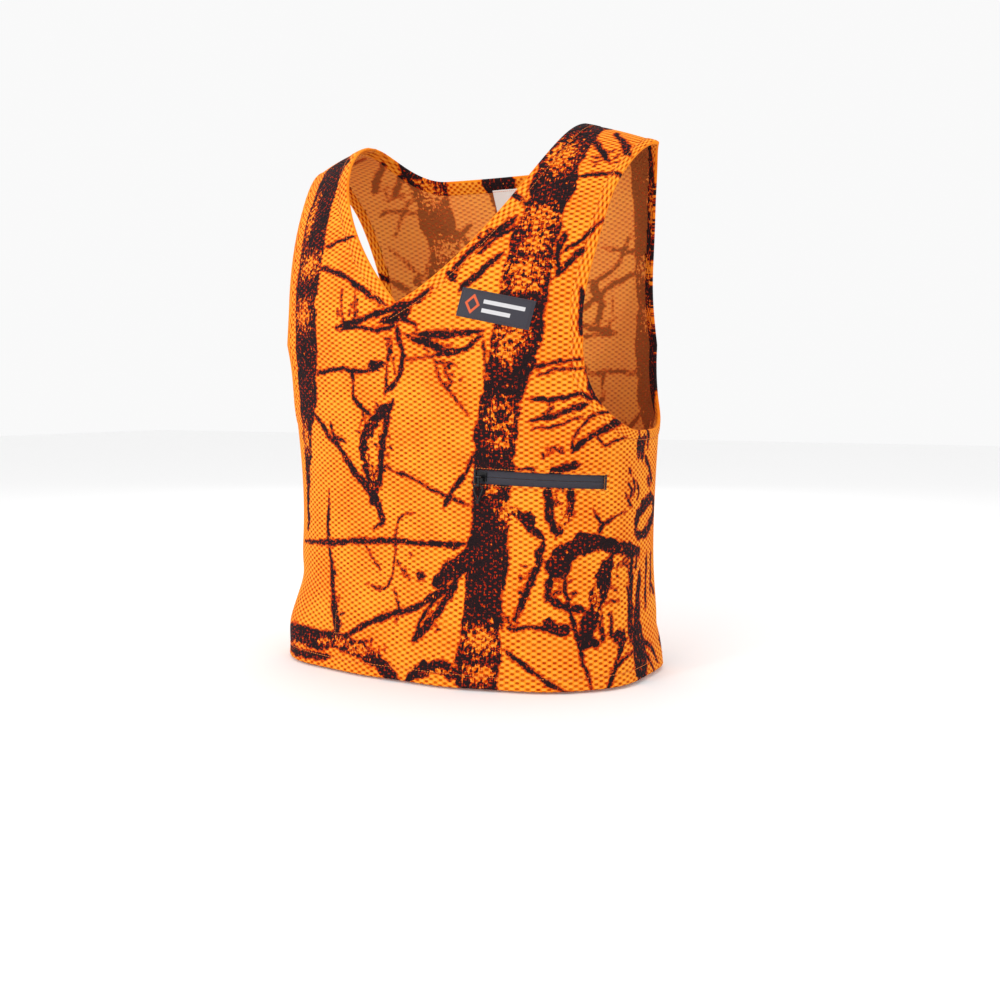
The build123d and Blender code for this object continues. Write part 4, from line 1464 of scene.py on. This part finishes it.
def behind_tapes(p, most):
    """Moves the points of a pocket that are near the zip in behind its tapes."""
    radius, turn, height = zip_place(p)
    near = (1 - smooth(13.5, 24, np.abs(height))) * (1 - smooth(27.4, 29.5, np.abs(turn)))
    return p - from_zip_axis(p) * (near * np.maximum(radius - most, 0) * (p[:, 1] < 0))[:, None]


def add_pockets():
    pivot, angles = ZIP_CENTRE[:2], (-92.8, -36.2)
    zip_bag = pocket_bag("zip_pocket_cloth", "zip_pocket_bag", pivot, angles, 53, 212.5, 183.0, True)
    pivot, angles = np.array([-66.5, 32.3]), (-124.2, -88.8)
    inner_bag = pocket_bag("inner_pocket_cloth", "inner_pocket_bag", pivot, angles, 35, 194.5, 194.5, False)
    return zip_bag, inner_bag


# ---------------------------------------------------------------- labels
LABEL_CENTRE = (94, 358.5)
LABEL_SIZE = (72, 27.5)
LABEL_TILT = radians(12)


def on_chest(a, b):
    """Points of the worn shape at a along the chest label and b up it, from its middle."""
    x = LABEL_CENTRE[0] + a * cos(LABEL_TILT) + b * sin(LABEL_TILT)
    z = LABEL_CENTRE[1] - a * sin(LABEL_TILT) + b * cos(LABEL_TILT)
    return on_body(x, z, FRONT).reshape(-1, 3)


def add_chest_label():
    """Woven label with folded ends, following the chest: a plain diamond and two bars are its mark."""
    columns, rows = 121, 47
    a, b = np.meshgrid(np.linspace(-0.5, 0.5, columns), np.linspace(-0.5, 0.5, rows))
    a, b = a * LABEL_SIZE[0], b * LABEL_SIZE[1]
    base = on_chest(a, b)
    up = outward(base)
    rim = np.minimum(LABEL_SIZE[0] / 2 - np.abs(a), LABEL_SIZE[1] / 2 - np.abs(b))
    proud = 0.4 + 1.0 * smooth(-0.2, 0.9, rim) - 0.35 * bell(rim, 2.0, 0.5)
    proud = proud + 0.25 * np.sin(a / 9 + 1) * np.sin(b / 8) * smooth(2, 8, rim)
    points = np.concatenate([cloth(base) + up * proud.reshape(-1, 1), cloth(base) - up * 0.1])
    face = quads(rows, columns)
    under = rows * columns
    index = np.arange(under).reshape(rows, columns)
    edge = np.concatenate([index[0], index[1:, -1], index[-1, -2::-1], index[-2:0:-1, 0]])
    ahead = np.roll(edge, -1)
    sides = np.stack([edge, edge + under, ahead + under, ahead], -1)
    faces = np.concatenate([face, face[:, ::-1] + under, sides])
    bright = np.abs(np.abs(a + 22) + np.abs(b) / 1.25 - 6.2) - 1.5
    upper_bar = np.maximum(np.abs(a - 8.5) - 20, np.abs(b - 4.2) - 1.9)
    lower_bar = np.maximum(np.abs(a - 2.5) - 14, np.abs(b + 4.2) - 1.9)
    marks = {"bright": bright, "pale": np.minimum(upper_bar, lower_bar)}
    fields = {key: np.concatenate([mark.ravel(), np.full(under, 9.0)]) for key, mark in marks.items()}
    mesh_piece("chest_label_weave", points, faces, MARKED, "woven_label", "chest_label", fields)
    line = outline([(-34, -12.2), (34, -12.2), (34, 12.2), (-34, 12.2), (-34, -12.2)], 24)
    line, up = laid(on_chest(line[:, 0], line[:, 1]), 1.05)
    sew("chest_label_stitches", line, up, 2.2, 1.6, 0.17, material=DARK_THREAD)


def add_neck_label():
    """Soft satin label that hangs from the back of the neck, inside."""
    tilt = radians(29)
    up = np.array([0, -sin(tilt), cos(tilt)])
    inward = np.array([0, -cos(tilt), -sin(tilt)])
    across = np.array([1, 0, 0])
    middle = np.array([0, 91, 494])
    a, b = np.meshgrid(np.linspace(-20, 20, 41), np.linspace(-13, 13, 27))
    curl = 0.9 * ((13 - b) / 26) ** 2 * (1 + 0.4 * np.cos(a / 6)) + 0.25 * np.sin(a / 7)
    face = middle + a[..., None] * across + b[..., None] * up + curl[..., None] * inward
    points, faces = face.reshape(-1, 3), quads(*a.shape)
    label = mesh_piece("neck_label_satin", points, faces, CARE, "care_label", "neck_label", outside=False)
    thicken(label, "satin_thickness", 0.45)
    line = middle + np.linspace(-18.5, 18.5, 20)[:, None] * across + 11.4 * up + 0.3 * inward
    sew("neck_label_stitches", line, np.tile(inward, (20, 1)), 2.4, 1.8, 0.2)


# ---------------------------------------------------------------- building it
add_camera()
pull_cord, cord_length = add_pull_cord()
knot = add_knot()
add_studio()
front = add_panel("front_panel_cloth", "front_panel", FRONT)
front_inside = add_inner_face("front_panel_inner_face", FRONT)
back = add_panel("back_panel_cloth", "back_panel", BACK)
back_inside = add_inner_face("back_panel_inner_face", BACK)
add_bands()
welt = add_welt()
add_tapes()
add_tacks()
add_hem_stitches()
add_overlocks()
add_chest_label()
add_neck_label()
zip_bag, inner_bag = add_pockets()
finish_cad_nodes()

bpy.context.view_layer.update()
